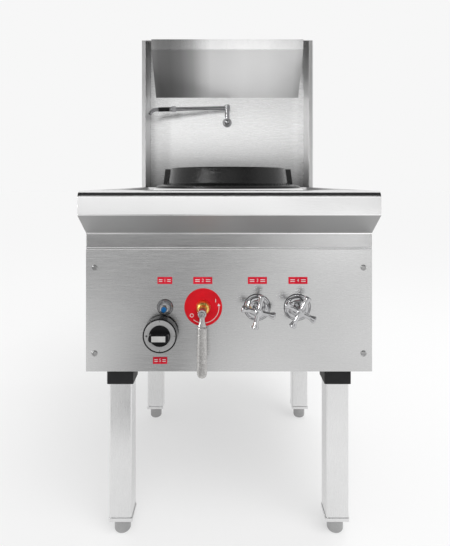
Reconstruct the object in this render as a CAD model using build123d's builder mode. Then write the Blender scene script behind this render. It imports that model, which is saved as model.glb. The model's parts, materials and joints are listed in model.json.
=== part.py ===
"""Single-burner wok range: open leg stand, sheet-metal carcass, water-cooled deck, cast ring,
gas and water controls, and a tall splash column at the back that carries the flue and a swing tap.
Millimetres. X to the right, Y to the back, Z up. Origin under the middle of the range, on the floor."""

import os
from math import cos, radians, sin

from build123d import *

os.makedirs("parts", exist_ok=True)


def save(piece, name):
    """Labels a finished piece and writes it as one STEP file."""
    piece.part.label = name
    export_step(piece.part, f"parts/{name}.step")


upright = (Align.CENTER, Align.CENTER, Align.MIN)
hanging = (Align.CENTER, Align.CENTER, Align.MAX)


# ---------------------------------------------------------------- driving dimensions
body_width = 600
nose_projection = 60  # how far the front bullnose stands out from the control panel
carcass_depth = 665  # control panel face to the back of the carcass
column_depth = 175  # splash and flue column behind the carcass
sheet = 1.5  # stainless sheet thickness

hob_height = 736  # top of the deck rim
body_height = 380  # underside of the carcass to the deck rim; the legs make up the rest
total_height = 1254  # top of the flue cowl
cowl_rise = 2  # the cowl stands this far above the splash column
wing_thickness = 13.5

foot_height = 32
plug_flange = 8
leg_size = 48  # square leg tube
leg_wall = 1.5
leg_pitch_x = 461  # between leg centres, left to right
front_leg_set_back = 37  # panel face to the front legs' centres
leg_pitch_y = 497  # front legs' centres to rear legs' centres

body_bottom = hob_height - body_height
total_depth = nose_projection + carcass_depth + column_depth
half_width = body_width / 2
wing_top = total_height - cowl_rise
front_y = -total_depth / 2
rear_y = total_depth / 2
panel_y = front_y + nose_projection
carcass_rear_y = panel_y + carcass_depth

# ---------------------------------------------------------------- front nose and upper rail
bullnose_radius = 15
nose_face_height = 48  # hob top down to the bend where the apron starts
apron_drop = 44  # height of the sloping face under the nose
nose_bend_radius = 2.5
rail_recess = 2  # the band above the control panel lies this far behind its face
panel_height = 257

rail_y = panel_y + rail_recess
apron_top_z = hob_height - nose_face_height
apron_bottom_z = apron_top_z - apron_drop
panel_top_z = body_bottom + panel_height
rail_overlap = 10  # the rail runs down behind the panel's top edge
rail_return = 20


def nose_path():
    """The outside line of the nose in section, from the deck round to the foot of the apron."""
    return FilletPolyline(
        (rail_y, hob_height),
        (front_y, hob_height),
        (front_y, apron_top_z),
        (rail_y, apron_bottom_z),
        radius=[bullnose_radius, nose_bend_radius],
    )


with BuildPart() as front_nose:
    with BuildSketch(Plane.YZ.offset(-half_width)):
        with BuildLine():
            nose_path()
            offset(amount=sheet, side=Side.LEFT)
        make_face()
    extrude(amount=body_width)
    with BuildSketch(Plane.YZ.offset(-half_width), Plane.YZ.offset(half_width - sheet)):
        with BuildLine():
            rim = nose_path()
            Line(rim @ 1, rim @ 0)
        make_face()
    extrude(amount=sheet)
    split(bisect_by=Plane.XZ.offset(-rail_y), keep=Keep.TOP)
save(front_nose, "front_nose")

with BuildPart() as upper_rail:
    with BuildSketch(Plane.YZ.offset(-half_width + sheet)):
        with BuildLine():
            Polyline(
                (rail_y, panel_top_z - rail_overlap),
                (rail_y, apron_bottom_z),
                (rail_y + rail_return, apron_bottom_z),
            )
            offset(amount=sheet, side=Side.RIGHT)
        make_face()
    extrude(amount=body_width - 2 * sheet)
save(upper_rail, "upper_rail")

# ---------------------------------------------------------------- where the controls sit
control_row_drop = 245  # igniter, main valve and both taps are on one line below the hob
knob_drop = 51.5  # pilot knob below that line
igniter_x = -134
main_valve_x = -54
tap_xs = (59, 143)
knob_x = -141.5
control_row_z = hob_height - control_row_drop
knob_z = control_row_z - knob_drop
valve_set_back = 45  # panel's face to the flow axis of the valves behind it
valve_line_y = panel_y + valve_set_back

igniter_barrel_radius = 8
bonnet_neck_radius = 13
knob_neck_radius = 11.5
tap_neck_radius = 9
screw_inset_x = 18
screw_inset_top = 39
screw_inset_bottom = 38
screw_radius = 3
hole_clearance = 0.5
panel_lip = 6  # folded lip along the panel's bottom edge

screw_points = [
    (side * (half_width - screw_inset_x), z)
    for side in (-1, 1)
    for z in (panel_top_z - screw_inset_top, body_bottom + screw_inset_bottom)
]
panel_holes = [
    (igniter_x, control_row_z, igniter_barrel_radius),
    (main_valve_x, control_row_z, bonnet_neck_radius),
    (knob_x, knob_z, knob_neck_radius),
    *[(x, control_row_z, tap_neck_radius) for x in tap_xs],
    *[(x, z, screw_radius) for x, z in screw_points],
]

with BuildPart() as control_panel:
    with BuildSketch(Plane.XZ.offset(-panel_y)):
        with Locations((0, body_bottom + panel_height / 2)):
            Rectangle(body_width, panel_height)
        for x, z, radius in panel_holes:
            with Locations((x, z)):
                Circle(radius + hole_clearance, mode=Mode.SUBTRACT)
    extrude(amount=-sheet)
    with BuildSketch(Plane.XY.offset(body_bottom)):
        with Locations((0, panel_y + panel_lip / 2)):
            Rectangle(body_width - 2 * sheet, panel_lip)
    extrude(amount=sheet)
save(control_panel, "control_panel")

screw_head_radius = 6
screw_head_height = 3
screw_length = 10
screw_head_rounding = 1.6
slot_width = 1.4
slot_length = 9
slot_depth = 1.2
screw_plane = Plane.XZ.offset(-panel_y)

with BuildPart() as panel_screws:
    with BuildSketch(screw_plane):
        with Locations(*screw_points):
            Circle(screw_head_radius)
    extrude(amount=screw_head_height)
    fillet(panel_screws.faces().sort_by(Axis.Y)[:4].edges(), screw_head_rounding)
    with BuildSketch(screw_plane):
        with Locations(*screw_points):
            Circle(screw_radius)
    extrude(amount=-screw_length)
    with BuildSketch(screw_plane.offset(screw_head_height)):
        with Locations(*screw_points):
            Rectangle(slot_width, slot_length)
            Rectangle(slot_length, slot_width)
    extrude(amount=-slot_depth, mode=Mode.SUBTRACT)
save(panel_screws, "panel_screws")

label_height = 14.5
label_thickness = 0.8
label_rise = 56  # labels above the line of controls
knob_label_drop = 60  # the pilot knob's label below the knob
label_z = control_row_z + label_rise
label_plates_at = [
    (-134.5, label_z, 31),
    (-55, label_z, 40),
    (59.5, label_z, 40),
    (144.5, label_z, 40),
    (-144.5, knob_z - knob_label_drop, 30),
]

with BuildPart() as label_plates:
    for x, z, width in label_plates_at:
        with BuildSketch(Plane.XZ.offset(-panel_y)):
            with Locations((x, z)):
                RectangleRounded(width, label_height, 1)
        extrude(amount=label_thickness)
save(label_plates, "label_plates")

# ---------------------------------------------------------------- carcass panels
deck_skirt = 36  # the deck's side edges fold down this far
side_top_z = hob_height - deck_skirt
pipe_rise = 50  # gas and water pipes above the carcass's underside
gas_inlet_inset = 100  # pipe inlets' distances from the range's sides
water_inlet_inset = 70
gas_inlet_x = gas_inlet_inset - half_width
water_inlet_x = half_width - water_inlet_inset
gas_pipe_radius = 12
water_pipe_radius = 8
faucet_pipe_drop = 116
flue_box_width = 180
flue_box_height = 48
flue_box_drop = 50  # flue box's top below the hob
flue_clearance = 1
pipe_hole_gap = 3
pipe_z = body_bottom + pipe_rise
faucet_pipe_z = hob_height - faucet_pipe_drop
flue_box_top = hob_height - flue_box_drop
flue_box_bottom = flue_box_top - flue_box_height

with BuildPart() as carcass_panels:
    for x in (-half_width, half_width - sheet):
        with BuildSketch(Plane.YZ.offset(x)):
            with Locations(((rail_y + carcass_rear_y) / 2, (body_bottom + side_top_z) / 2)):
                Rectangle(carcass_rear_y - rail_y, side_top_z - body_bottom)
        extrude(amount=sheet)
    with BuildSketch(Plane.XZ.offset(-carcass_rear_y)):
        with Locations((0, (body_bottom + side_top_z) / 2)):
            Rectangle(body_width - 2 * sheet, side_top_z - body_bottom)
        with Locations((0, (flue_box_bottom + flue_box_top) / 2)):
            Rectangle(
                flue_box_width + 2 * flue_clearance,
                flue_box_top - flue_box_bottom + 2 * flue_clearance,
                mode=Mode.SUBTRACT,
            )
        for x, z, radius in (
            (gas_inlet_x, pipe_z, gas_pipe_radius),
            (water_inlet_x, pipe_z, water_pipe_radius),
            (water_inlet_x, faucet_pipe_z, water_pipe_radius),
        ):
            with Locations((x, z)):
                Circle(radius + pipe_hole_gap, mode=Mode.SUBTRACT)
    extrude(amount=sheet)
save(carcass_panels, "carcass_panels")

# ---------------------------------------------------------------- base frame, legs and feet
angle_leg = 30  # angle iron of the base frame
angle_wall = 3
frame_z = body_bottom + sheet
frame_gap = 0.5
leg_plate = 90
leg_plate_thickness = 4
front_leg_y = panel_y + front_leg_set_back
rear_leg_y = front_leg_y + leg_pitch_y
leg_points = [(side * leg_pitch_x / 2, y) for y in (front_leg_y, rear_leg_y) for side in (-1, 1)]
leg_names = ["front_left", "front_right", "rear_left", "rear_right"]
frame_x = half_width - sheet - frame_gap
frame_front_y = rail_y + sheet + frame_gap
frame_rear_y = carcass_rear_y - sheet - frame_gap
frame_mid_y = (frame_front_y + frame_rear_y) / 2

with BuildPart() as base_frame:
    with BuildSketch(Plane.XY.offset(frame_z)):
        with Locations((0, frame_mid_y)):
            Rectangle(2 * frame_x, frame_rear_y - frame_front_y)
            offset(amount=-angle_wall, mode=Mode.SUBTRACT)
    extrude(amount=angle_leg)
    with BuildSketch(Plane.XY.offset(frame_z)):
        with Locations((0, frame_mid_y)):
            Rectangle(2 * frame_x, frame_rear_y - frame_front_y)
            Rectangle(
                2 * (frame_x - angle_leg),
                frame_rear_y - frame_front_y - 2 * angle_leg,
                mode=Mode.SUBTRACT,
            )
    extrude(amount=angle_wall)
    with BuildSketch(Plane.XY.offset(frame_z)):
        with Locations(*leg_points):
            Rectangle(leg_plate, leg_plate)
        with Locations((0, rear_leg_y)):
            Rectangle(2 * frame_x, leg_size)
    extrude(amount=leg_plate_thickness)
    with BuildSketch(Plane.XY.offset(frame_z)):
        with Locations((0, frame_mid_y)):
            Rectangle(2 * frame_x + leg_plate, frame_rear_y - frame_front_y + leg_plate)
            Rectangle(2 * frame_x, frame_rear_y - frame_front_y, mode=Mode.SUBTRACT)
    extrude(amount=leg_plate_thickness, mode=Mode.SUBTRACT)
save(base_frame, "base_frame")

socket_size = 56
socket_depth = 32  # height of the black socket that shows under the carcass
socket_roof = 6
socket_fit = 0.3
socket_bottom = frame_z - socket_depth

with BuildPart() as leg_sockets:
    with BuildSketch(Plane.XY.offset(socket_bottom)):
        with Locations(*leg_points):
            RectangleRounded(socket_size, socket_size, 3)
    extrude(amount=socket_depth)
    with BuildSketch(Plane.XY.offset(socket_bottom)):
        with Locations(*leg_points):
            Rectangle(leg_size + 2 * socket_fit, leg_size + 2 * socket_fit)
    extrude(amount=socket_depth - socket_roof, mode=Mode.SUBTRACT)
save(leg_sockets, "leg_sockets")

leg_bottom = foot_height + plug_flange
leg_top = frame_z - socket_roof
leg_corner = 3

with BuildPart() as legs:
    with BuildSketch(Plane.XY.offset(leg_bottom)):
        with Locations(*leg_points):
            RectangleRounded(leg_size, leg_size, leg_corner)
            RectangleRounded(
                leg_size - 2 * leg_wall,
                leg_size - 2 * leg_wall,
                leg_corner - leg_wall,
                mode=Mode.SUBTRACT,
            )
    extrude(amount=leg_top - leg_bottom)
save(legs, "legs")

plug_overhang = 1.5  # the plug's flange stands out from the leg on each side
plug_corner = 3
plug_wall = 4
plug_boss_wall = 5
plug_insert = 25
stem_radius = 6
stem_clearance = 0.1

with BuildPart() as leg_plugs:
    with BuildSketch(Plane.XY.offset(foot_height)):
        with Locations(*leg_points):
            RectangleRounded(leg_size + 2 * plug_overhang, leg_size + 2 * plug_overhang, plug_corner)
    extrude(amount=plug_flange)
    insert_size = leg_size - 2 * leg_wall - 2 * socket_fit
    with BuildSketch(Plane.XY.offset(leg_bottom)):
        with Locations(*leg_points):
            RectangleRounded(insert_size, insert_size, leg_corner)
            Circle(insert_size / 2 - plug_wall, mode=Mode.SUBTRACT)
            Circle(stem_radius + plug_boss_wall)
    extrude(amount=plug_insert)
    with BuildSketch(Plane.XY.offset(foot_height)):
        with Locations(*leg_points):
            Circle(stem_radius + stem_clearance)
    extrude(amount=plug_flange + plug_insert, mode=Mode.SUBTRACT)
save(leg_plugs, "leg_plugs")

foot_radius = 17.5
foot_pad_radius = 11
foot_pad_chamfer = (3, 1.2)
foot_cone_top = 12
foot_rim_chamfer = 2
foot_gap = 0.3  # the foot's shoulder stops just under the plug
foot_stem = 50

for name, (x, y) in zip(leg_names, leg_points):
    with BuildPart() as foot:
        with BuildSketch(Plane.XZ):
            with BuildLine():
                Polyline(
                    (0, 0),
                    (foot_pad_radius, 0),
                    (foot_pad_radius + foot_pad_chamfer[0], foot_pad_chamfer[1]),
                    (foot_radius, foot_cone_top),
                    (foot_radius, foot_height - foot_rim_chamfer - foot_gap),
                    (foot_radius - foot_rim_chamfer, foot_height - foot_gap),
                    (stem_radius, foot_height - foot_gap),
                    (stem_radius, foot_height + foot_stem),
                    (0, foot_height + foot_stem),
                    close=True,
                )
            make_face()
        revolve(axis=Axis.Z)
    foot.part = foot.part.moved(Location((x, y, 0)))
    save(foot, f"foot_{name}")

# ---------------------------------------------------------------- water-cooled deck
ring_from_panel = 303
ring_y = panel_y + ring_from_panel
dish_rim_side = 24
dish_rim_front = 16
dish_rim_rear = 13
dish_depth = 12
dish_slope = 10
collar_radius = 212
collar_top_radius = 199
collar_seat = 8  # width of the deck's edge under the collar
deck_hole_radius = collar_radius - collar_seat
gutter_width = 512
gutter_length = 44  # front to back
gutter_depth = 31
gutter_rear_gap = 28  # gutter's back edge to the back of the carcass
gutter_y = carcass_rear_y - gutter_rear_gap - gutter_length / 2
spray_bar_y = valve_line_y
deck_pipe_x = tap_xs[0]
deck_pipe_radius = 6

dish_half = half_width - dish_rim_side
dish_front_y = rail_y + dish_rim_front
dish_rear_y = carcass_rear_y - dish_rim_rear
dish_mid_y = (dish_front_y + dish_rear_y) / 2
dish_floor_z = hob_height - dish_depth


dish_outer = [(-sheet, hob_height - sheet), (dish_slope - sheet, dish_floor_z - sheet)]
dish_inner = [(0, hob_height), (dish_slope, dish_floor_z)]

with BuildPart() as deck_pan:
    with BuildSketch(Plane.XY.offset(hob_height - sheet)):
        with Locations((0, (rail_y + carcass_rear_y) / 2)):
            Rectangle(body_width, carcass_rear_y - rail_y)
    extrude(amount=sheet)
    for x in (-half_width, half_width - sheet):
        with BuildSketch(Plane.YZ.offset(x)):
            with Locations(((rail_y + carcass_rear_y) / 2, (side_top_z + hob_height) / 2)):
                Rectangle(carcass_rear_y - rail_y, deck_skirt)
        extrude(amount=sheet)
    for levels, mode in ((dish_outer, Mode.ADD), (dish_inner, Mode.SUBTRACT)):
        for inset, z in levels:
            with BuildSketch(Plane.XY.offset(z)):
                with Locations((0, dish_mid_y)):
                    Rectangle(2 * (dish_half - inset), dish_rear_y - dish_front_y - 2 * inset)
        loft(mode=mode)
    with BuildSketch(Plane.XY.offset(dish_floor_z - sheet)):
        with Locations((0, ring_y)):
            Circle(deck_hole_radius)
        with Locations((0, gutter_y)):
            Rectangle(gutter_width, gutter_length)
        with Locations((deck_pipe_x, spray_bar_y)):
            Circle(deck_pipe_radius + hole_clearance)
    extrude(amount=sheet, mode=Mode.SUBTRACT)
save(deck_pan, "deck_pan")

drain_x = -125
drain_bore = 14.5
drain_tube_radius = 15.7
drain_spigot_radius = 16.5  # a hose slips over the tail
drain_tail_drop = 38  # the tail ends this far below the carcass
drain_tail_z = body_bottom - drain_tail_drop
drain_flange_width = 10
drain_flange_thickness = 3

gutter_top = dish_floor_z - sheet
gutter_bottom = gutter_top - gutter_depth

with BuildPart() as deck_gutter:
    with BuildSketch(Plane.XY.offset(gutter_bottom)):
        with Locations((0, gutter_y)):
            Rectangle(gutter_width + 2 * sheet, gutter_length + 2 * sheet)
    extrude(amount=gutter_depth)
    with BuildSketch(Plane.XY.offset(gutter_bottom + sheet)):
        with Locations((0, gutter_y)):
            Rectangle(gutter_width, gutter_length)
    extrude(amount=gutter_depth, mode=Mode.SUBTRACT)
    with BuildSketch(Plane.XY.offset(gutter_bottom)):
        with Locations((drain_x, gutter_y)):
            Circle(drain_bore)
    extrude(amount=sheet, mode=Mode.SUBTRACT)
    with BuildSketch(Plane.XZ.offset(-gutter_y)):
        with BuildLine():
            Polyline(
                (drain_x + drain_bore, gutter_bottom),
                (drain_x + drain_tube_radius + drain_flange_width, gutter_bottom),
                (
                    drain_x + drain_tube_radius + drain_flange_width,
                    gutter_bottom - drain_flange_thickness,
                ),
                (drain_x + drain_tube_radius, gutter_bottom - drain_flange_thickness),
                (drain_x + drain_tube_radius, body_bottom),
                (drain_x + drain_spigot_radius, body_bottom),
                (drain_x + drain_spigot_radius, drain_tail_z),
                (drain_x + drain_bore, drain_tail_z),
                close=True,
            )
        make_face()
    revolve(axis=Axis((drain_x, gutter_y, 0), (0, 0, 1)))
save(deck_gutter, "deck_gutter")

basket_radius = 13.5
basket_flange_radius = 18
basket_depth = 26
basket_wall = 1
basket_flange = 1.2
basket_holes = 6
basket_hole_ring = 8.5
basket_hole_radius = 2
basket_centre_hole = 3
basket_seat_gap = 0.3
basket_flange_z = gutter_bottom + sheet + basket_seat_gap

with BuildPart() as strainer_basket:
    with Locations((drain_x, gutter_y, basket_flange_z)):
        Cylinder(basket_flange_radius, basket_flange, align=upright)
    with Locations((drain_x, gutter_y, basket_flange_z + basket_flange)):
        Cylinder(basket_radius, basket_depth, align=hanging)
        Cylinder(
            basket_radius - basket_wall,
            basket_depth - basket_wall,
            align=hanging,
            mode=Mode.SUBTRACT,
        )
    with BuildSketch(Plane.XY.offset(basket_flange_z + basket_flange - basket_depth)):
        with Locations((drain_x, gutter_y)):
            with PolarLocations(basket_hole_ring, basket_holes):
                Circle(basket_hole_radius)
            Circle(basket_centre_hole)
    extrude(amount=basket_wall, mode=Mode.SUBTRACT)
save(strainer_basket, "strainer_basket")

# ---------------------------------------------------------------- ring collar, cast ring, fire pot
collar_top_rise = 1.5  # collar's top above the deck rim
collar_top_z = hob_height + collar_top_rise
collar_wall = 2
chamber_radius = 169
chamber_wall = 2
collar_skirt_gap = 1.5
collar_skirt = 24

with BuildPart() as ring_collar:
    with BuildSketch(Plane.XZ.offset(-ring_y)):
        with BuildLine():
            Polyline(
                (collar_radius, dish_floor_z),
                (collar_top_radius, collar_top_z),
                (chamber_radius + collar_skirt_gap, collar_top_z),
                (chamber_radius + collar_skirt_gap, collar_top_z - collar_skirt),
                (chamber_radius + collar_skirt_gap + collar_wall, collar_top_z - collar_skirt),
                (chamber_radius + collar_skirt_gap + collar_wall, collar_top_z - collar_wall),
                (collar_top_radius - collar_wall, collar_top_z - collar_wall),
                (collar_radius - 2 * collar_wall, dish_floor_z),
                close=True,
            )
        make_face()
    revolve(axis=Axis((0, ring_y, 0), (0, 0, 1)))
save(ring_collar, "ring_collar")

ring_flange_radius = 194
ring_flange_thickness = 8
ring_base_radius = 161  # outside of the wall, just above the flange
ring_rim_radius = 156
ring_height = 53
ring_bore_radius = 142
lug_foot_radius = 180
lug_rim_radius = 174
lug_width = 34
lug_root = 5  # how far the lugs run into the ring's wall
lug_rise = 4  # lugs start this far above the ring's foot
lug_drop = 1.5  # and stop this far below its rim
ring_flange_chamfer = (6, 3)
ring_fillet = (5, 2)  # slope between the flange and the wall
ring_shoulder = 6
ring_rim_chamfer = 2
ring_seat_chamfer = (4, 6)  # the bore opens towards the rim to seat the wok
ring_gap = 0.3
ring_z = collar_top_z + ring_gap
ring_top_z = ring_z + ring_height
ring_flange_top = ring_z + ring_flange_thickness

with BuildPart() as wok_ring:
    with BuildSketch(Plane.XZ.offset(-ring_y)):
        with BuildLine():
            Polyline(
                (ring_bore_radius, ring_z),
                (ring_flange_radius, ring_z),
                (ring_flange_radius, ring_flange_top - ring_flange_chamfer[1]),
                (ring_flange_radius - ring_flange_chamfer[0], ring_flange_top),
                (ring_base_radius + ring_fillet[0], ring_flange_top + ring_fillet[1]),
                (ring_base_radius, ring_flange_top + ring_shoulder),
                (ring_rim_radius, ring_top_z - ring_rim_chamfer),
                (ring_rim_radius - ring_rim_chamfer, ring_top_z),
                (ring_bore_radius + ring_seat_chamfer[0], ring_top_z),
                (ring_bore_radius, ring_top_z - ring_seat_chamfer[1]),
                close=True,
            )
        make_face()
    revolve(axis=Axis((0, ring_y, 0), (0, 0, 1)))
    with BuildSketch(Plane.XZ.offset(-ring_y - lug_width / 2)):
        for side in (-1, 1):
            with BuildLine():
                Polyline(
                    (side * (ring_rim_radius - lug_root), ring_z + lug_rise),
                    (side * lug_foot_radius, ring_z + lug_rise),
                    (side * lug_rim_radius, ring_top_z - lug_drop),
                    (side * (ring_rim_radius - lug_root), ring_top_z - lug_drop),
                    close=True,
                )
            make_face()
    extrude(amount=-lug_width)
save(wok_ring, "wok_ring")

chamber_depth = 191  # hob top down to the chamber's floor
chamber_bottom = hob_height - chamber_depth
chamber_top = hob_height - 3
burner_radius = 100
burner_hole_radius = 90
lining_drop = 10  # lining's top edge below the chamber's
lining_throat = 60  # straight part of the lining's bore
lining_top = chamber_top - lining_drop
lining_gap = 0.3
lining_foot_radius = 120
lining_bore = 142
pilot_reach = 109  # pilot burner and spark electrode stand in the gap round the burner
pilot_body_radius = 6
pilot_hole_gap = 1
pilot_angle = radians(200)  # both stand at the front left of the burner
electrode_angle = radians(212)
pilot_point = (pilot_reach * cos(pilot_angle), ring_y + pilot_reach * sin(pilot_angle))
electrode_point = (
    pilot_reach * cos(electrode_angle),
    ring_y + pilot_reach * sin(electrode_angle),
)

with BuildPart() as chamber_shell:
    with BuildSketch(Plane.XY.offset(chamber_bottom)):
        with Locations((0, ring_y)):
            Circle(chamber_radius)
            Circle(burner_hole_radius, mode=Mode.SUBTRACT)
    extrude(amount=chamber_wall)
    with BuildSketch(Plane.XY.offset(chamber_bottom)):
        with Locations((0, ring_y)):
            Circle(chamber_radius)
            Circle(chamber_radius - chamber_wall, mode=Mode.SUBTRACT)
    extrude(amount=chamber_top - chamber_bottom)
    with BuildSketch(Plane.XZ.offset(-ring_y)):
        with Locations((0, (flue_box_bottom + flue_box_top) / 2)):
            Rectangle(flue_box_width - 2 * sheet, flue_box_top - flue_box_bottom - 2 * sheet)
    extrude(amount=-chamber_radius - chamber_wall, mode=Mode.SUBTRACT)
    with BuildSketch(Plane.XY.offset(chamber_bottom)):
        with Locations(pilot_point, electrode_point):
            Circle(pilot_body_radius + pilot_hole_gap)
    extrude(amount=chamber_wall, mode=Mode.SUBTRACT)
save(chamber_shell, "chamber_shell")

with BuildPart() as refractory_lining:
    with BuildSketch(Plane.XZ.offset(-ring_y)):
        with BuildLine():
            Polyline(
                (lining_foot_radius, chamber_bottom + chamber_wall),
                (chamber_radius - chamber_wall - lining_gap, chamber_bottom + chamber_wall),
                (chamber_radius - chamber_wall - lining_gap, lining_top),
                (lining_bore, lining_top),
                (lining_bore, lining_top - lining_throat),
                close=True,
            )
        make_face()
    revolve(axis=Axis((0, ring_y, 0), (0, 0, 1)))
    with BuildSketch(Plane.XZ.offset(-ring_y)):
        with Locations((0, (flue_box_bottom + flue_box_top) / 2)):
            Rectangle(flue_box_width - 2 * sheet, flue_box_top - flue_box_bottom - 2 * sheet)
    extrude(amount=-chamber_radius - chamber_wall, mode=Mode.SUBTRACT)
save(refractory_lining, "refractory_lining")

bearer_width = 25
bearer_thickness = 4
bearer_offset = 148

with BuildPart() as chamber_bearers:
    with BuildSketch(Plane.XY.offset(chamber_bottom - bearer_thickness)):
        with Locations((0, ring_y - bearer_offset), (0, ring_y + bearer_offset)):
            Rectangle(body_width - 2 * sheet, bearer_width)
    extrude(amount=bearer_thickness)
    for side in (-1, 1):
        with BuildSketch(Plane.YZ.offset(side * (half_width - sheet))):
            with Locations(
                (ring_y - bearer_offset, chamber_bottom - bearer_width / 2),
                (ring_y + bearer_offset, chamber_bottom - bearer_width / 2),
            ):
                Rectangle(bearer_width, bearer_width)
        extrude(amount=-side * bearer_thickness)
save(chamber_bearers, "chamber_bearers")

# ---------------------------------------------------------------- burner
burner_height = 40
burner_wall = 6
burner_axis_z = chamber_bottom - burner_height / 2
inlet_boss_radius = 19
inlet_bore_radius = 13
inlet_boss_length = 14
inlet_boss_end_y = ring_y - burner_radius - inlet_boss_length
jet_base_radius = 8
jet_radius = 6
jet_bore = 2.5
jet_base_height = 8
jet_hole_gap = 1
jet_height = 38
inner_ring_radius = 38
outer_ring_radius = 72
inner_jet_count = 6
outer_jet_count = 12


jet_points = [(0, ring_y)] + [
    (
        radius * cos(radians(360 * i / count)),
        ring_y + radius * sin(radians(360 * i / count)),
    )
    for radius, count in (
        (inner_ring_radius, inner_jet_count),
        (outer_ring_radius, outer_jet_count),
    )
    for i in range(count)
]

with BuildPart() as burner_body:
    with Locations((0, ring_y, chamber_bottom)):
        Cylinder(burner_radius, burner_height, align=hanging)
    with BuildSketch(Plane.XZ.offset(-inlet_boss_end_y)):
        with Locations((main_valve_x, burner_axis_z)):
            Circle(inlet_boss_radius)
    extrude(amount=-burner_radius)
    with Locations((0, ring_y, burner_axis_z)):
        Cylinder(
            burner_radius - burner_wall,
            burner_height - 2 * burner_wall,
            mode=Mode.SUBTRACT,
        )
    with BuildSketch(Plane.XZ.offset(-inlet_boss_end_y)):
        with Locations((main_valve_x, burner_axis_z)):
            Circle(inlet_bore_radius)
    extrude(amount=-burner_radius, mode=Mode.SUBTRACT)
    with BuildSketch(Plane.XY.offset(chamber_bottom)):
        with Locations(*jet_points):
            Circle(jet_bore + jet_hole_gap)
    extrude(amount=-burner_wall, mode=Mode.SUBTRACT)
save(burner_body, "burner_body")

with BuildPart() as burner_jets:
    with BuildSketch(Plane.XY.offset(chamber_bottom)):
        with Locations(*jet_points):
            RegularPolygon(jet_base_radius, 6)
    extrude(amount=jet_base_height)
    with BuildSketch(Plane.XY.offset(chamber_bottom)):
        with Locations(*jet_points):
            Circle(jet_radius)
    extrude(amount=jet_height)
    with BuildSketch(Plane.XY.offset(chamber_bottom)):
        with Locations(*jet_points):
            Circle(jet_bore)
    extrude(amount=jet_height, mode=Mode.SUBTRACT)
save(burner_jets, "burner_jets")

# ---------------------------------------------------------------- mixing tube and injector
mixer_length = 106
mixer_throat_from_boss = 66
mixer_mouth_y = inlet_boss_end_y - mixer_length
mixer_throat_y = inlet_boss_end_y - mixer_throat_from_boss
mixer_mouth_radius = 24
mixer_throat_radius = 9
mixer_wall = 2.5
mixer_flange = 4
mixer_neck = 10  # straight end of the mixing tube, at the burner
elbow_radius = 10
elbow_arm_radius = 8
elbow_top_z = burner_axis_z + elbow_radius
elbow_reach = 26
elbow_bore = 6
elbow_bore_rise = 4  # the elbow's bore runs on past the injector's axis
elbow_end_y = valve_line_y + elbow_reach
injector_bore = 1.6
injector_hex = 9
injector_hex_radius = 7.5
injector_tip_radius = 5
injector_entry = 6  # how far the tip reaches into the mixing tube's mouth
injector_tip_y = mixer_mouth_y + injector_entry
main_valve_length = 50
main_valve_top = control_row_z + main_valve_length / 2
mixer_axis = Axis((main_valve_x, 0, burner_axis_z), (0, 1, 0))

with BuildPart() as mixing_tube:
    with BuildSketch(Plane.XY.offset(burner_axis_z)):
        with BuildLine():
            Polyline(
                (main_valve_x + mixer_mouth_radius, mixer_mouth_y),
                (main_valve_x + mixer_mouth_radius + mixer_wall, mixer_mouth_y),
                (main_valve_x + mixer_throat_radius + mixer_wall, mixer_throat_y),
                (main_valve_x + inlet_bore_radius + mixer_wall, inlet_boss_end_y - mixer_neck),
                (main_valve_x + inlet_boss_radius, inlet_boss_end_y - mixer_flange),
                (main_valve_x + inlet_boss_radius, inlet_boss_end_y),
                (main_valve_x + inlet_bore_radius, inlet_boss_end_y),
                (main_valve_x + inlet_bore_radius, inlet_boss_end_y - mixer_neck),
                (main_valve_x + mixer_throat_radius, mixer_throat_y),
                close=True,
            )
        make_face()
    revolve(axis=mixer_axis)
save(mixing_tube, "mixing_tube")

with BuildPart() as gas_injector:
    with BuildSketch(Plane.XY.offset(main_valve_top)):
        with Locations((main_valve_x, valve_line_y)):
            Circle(elbow_radius)
    extrude(amount=elbow_top_z - main_valve_top)
    with BuildSketch(Plane.XZ.offset(-valve_line_y)):
        with Locations((main_valve_x, burner_axis_z)):
            Circle(elbow_arm_radius)
    extrude(amount=-(elbow_end_y - valve_line_y))
    with BuildSketch(Plane.XZ.offset(-elbow_end_y)):
        with Locations((main_valve_x, burner_axis_z)):
            RegularPolygon(injector_hex_radius, 6)
    extrude(amount=-injector_hex)
    with BuildSketch(Plane.XZ.offset(-elbow_end_y - injector_hex)):
        with Locations((main_valve_x, burner_axis_z)):
            Circle(injector_tip_radius)
    extrude(amount=-(injector_tip_y - elbow_end_y - injector_hex))
    with BuildSketch(Plane.XZ.offset(-valve_line_y)):
        with Locations((main_valve_x, burner_axis_z)):
            Circle(injector_bore)
    extrude(amount=-(injector_tip_y - valve_line_y), mode=Mode.SUBTRACT)
    with BuildSketch(Plane.XY.offset(main_valve_top)):
        with Locations((main_valve_x, valve_line_y)):
            Circle(elbow_bore)
    extrude(amount=burner_axis_z + elbow_bore_rise - main_valve_top, mode=Mode.SUBTRACT)
save(gas_injector, "gas_injector")

# ---------------------------------------------------------------- gas pipes and valves
gas_pipe_bore = 9.8
gas_thread_radius = 13.2  # three-quarter inch pipe thread
water_thread_radius = 10.5  # half inch pipe thread
thread_length = 24
pipe_bend = 26
inlet_stub = 26  # the inlets stand out behind the carcass
inlet_end_y = carcass_rear_y + inlet_stub
branch_radius = 6
main_valve_radius = 17
valve_nut_height = 11
valve_nut_step = 3  # the nuts are this much wider than the body
valve_bore = 6
valve_stem_bore_depth = 30
knob_valve_size = (34, 34, 36)
spindle_radius = 4
running_fit = 0.06
dial_radius = 39.7
dial_hole_radius = 8
dial_thickness = 1.2
bonnet_radius = 15
bonnet_front = 27  # how far the brass bonnet stands out from the panel
bonnet_steps = ((7, bonnet_radius), (14, 12), (16, 9), (bonnet_front, 8))  # how far out, radius

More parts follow.
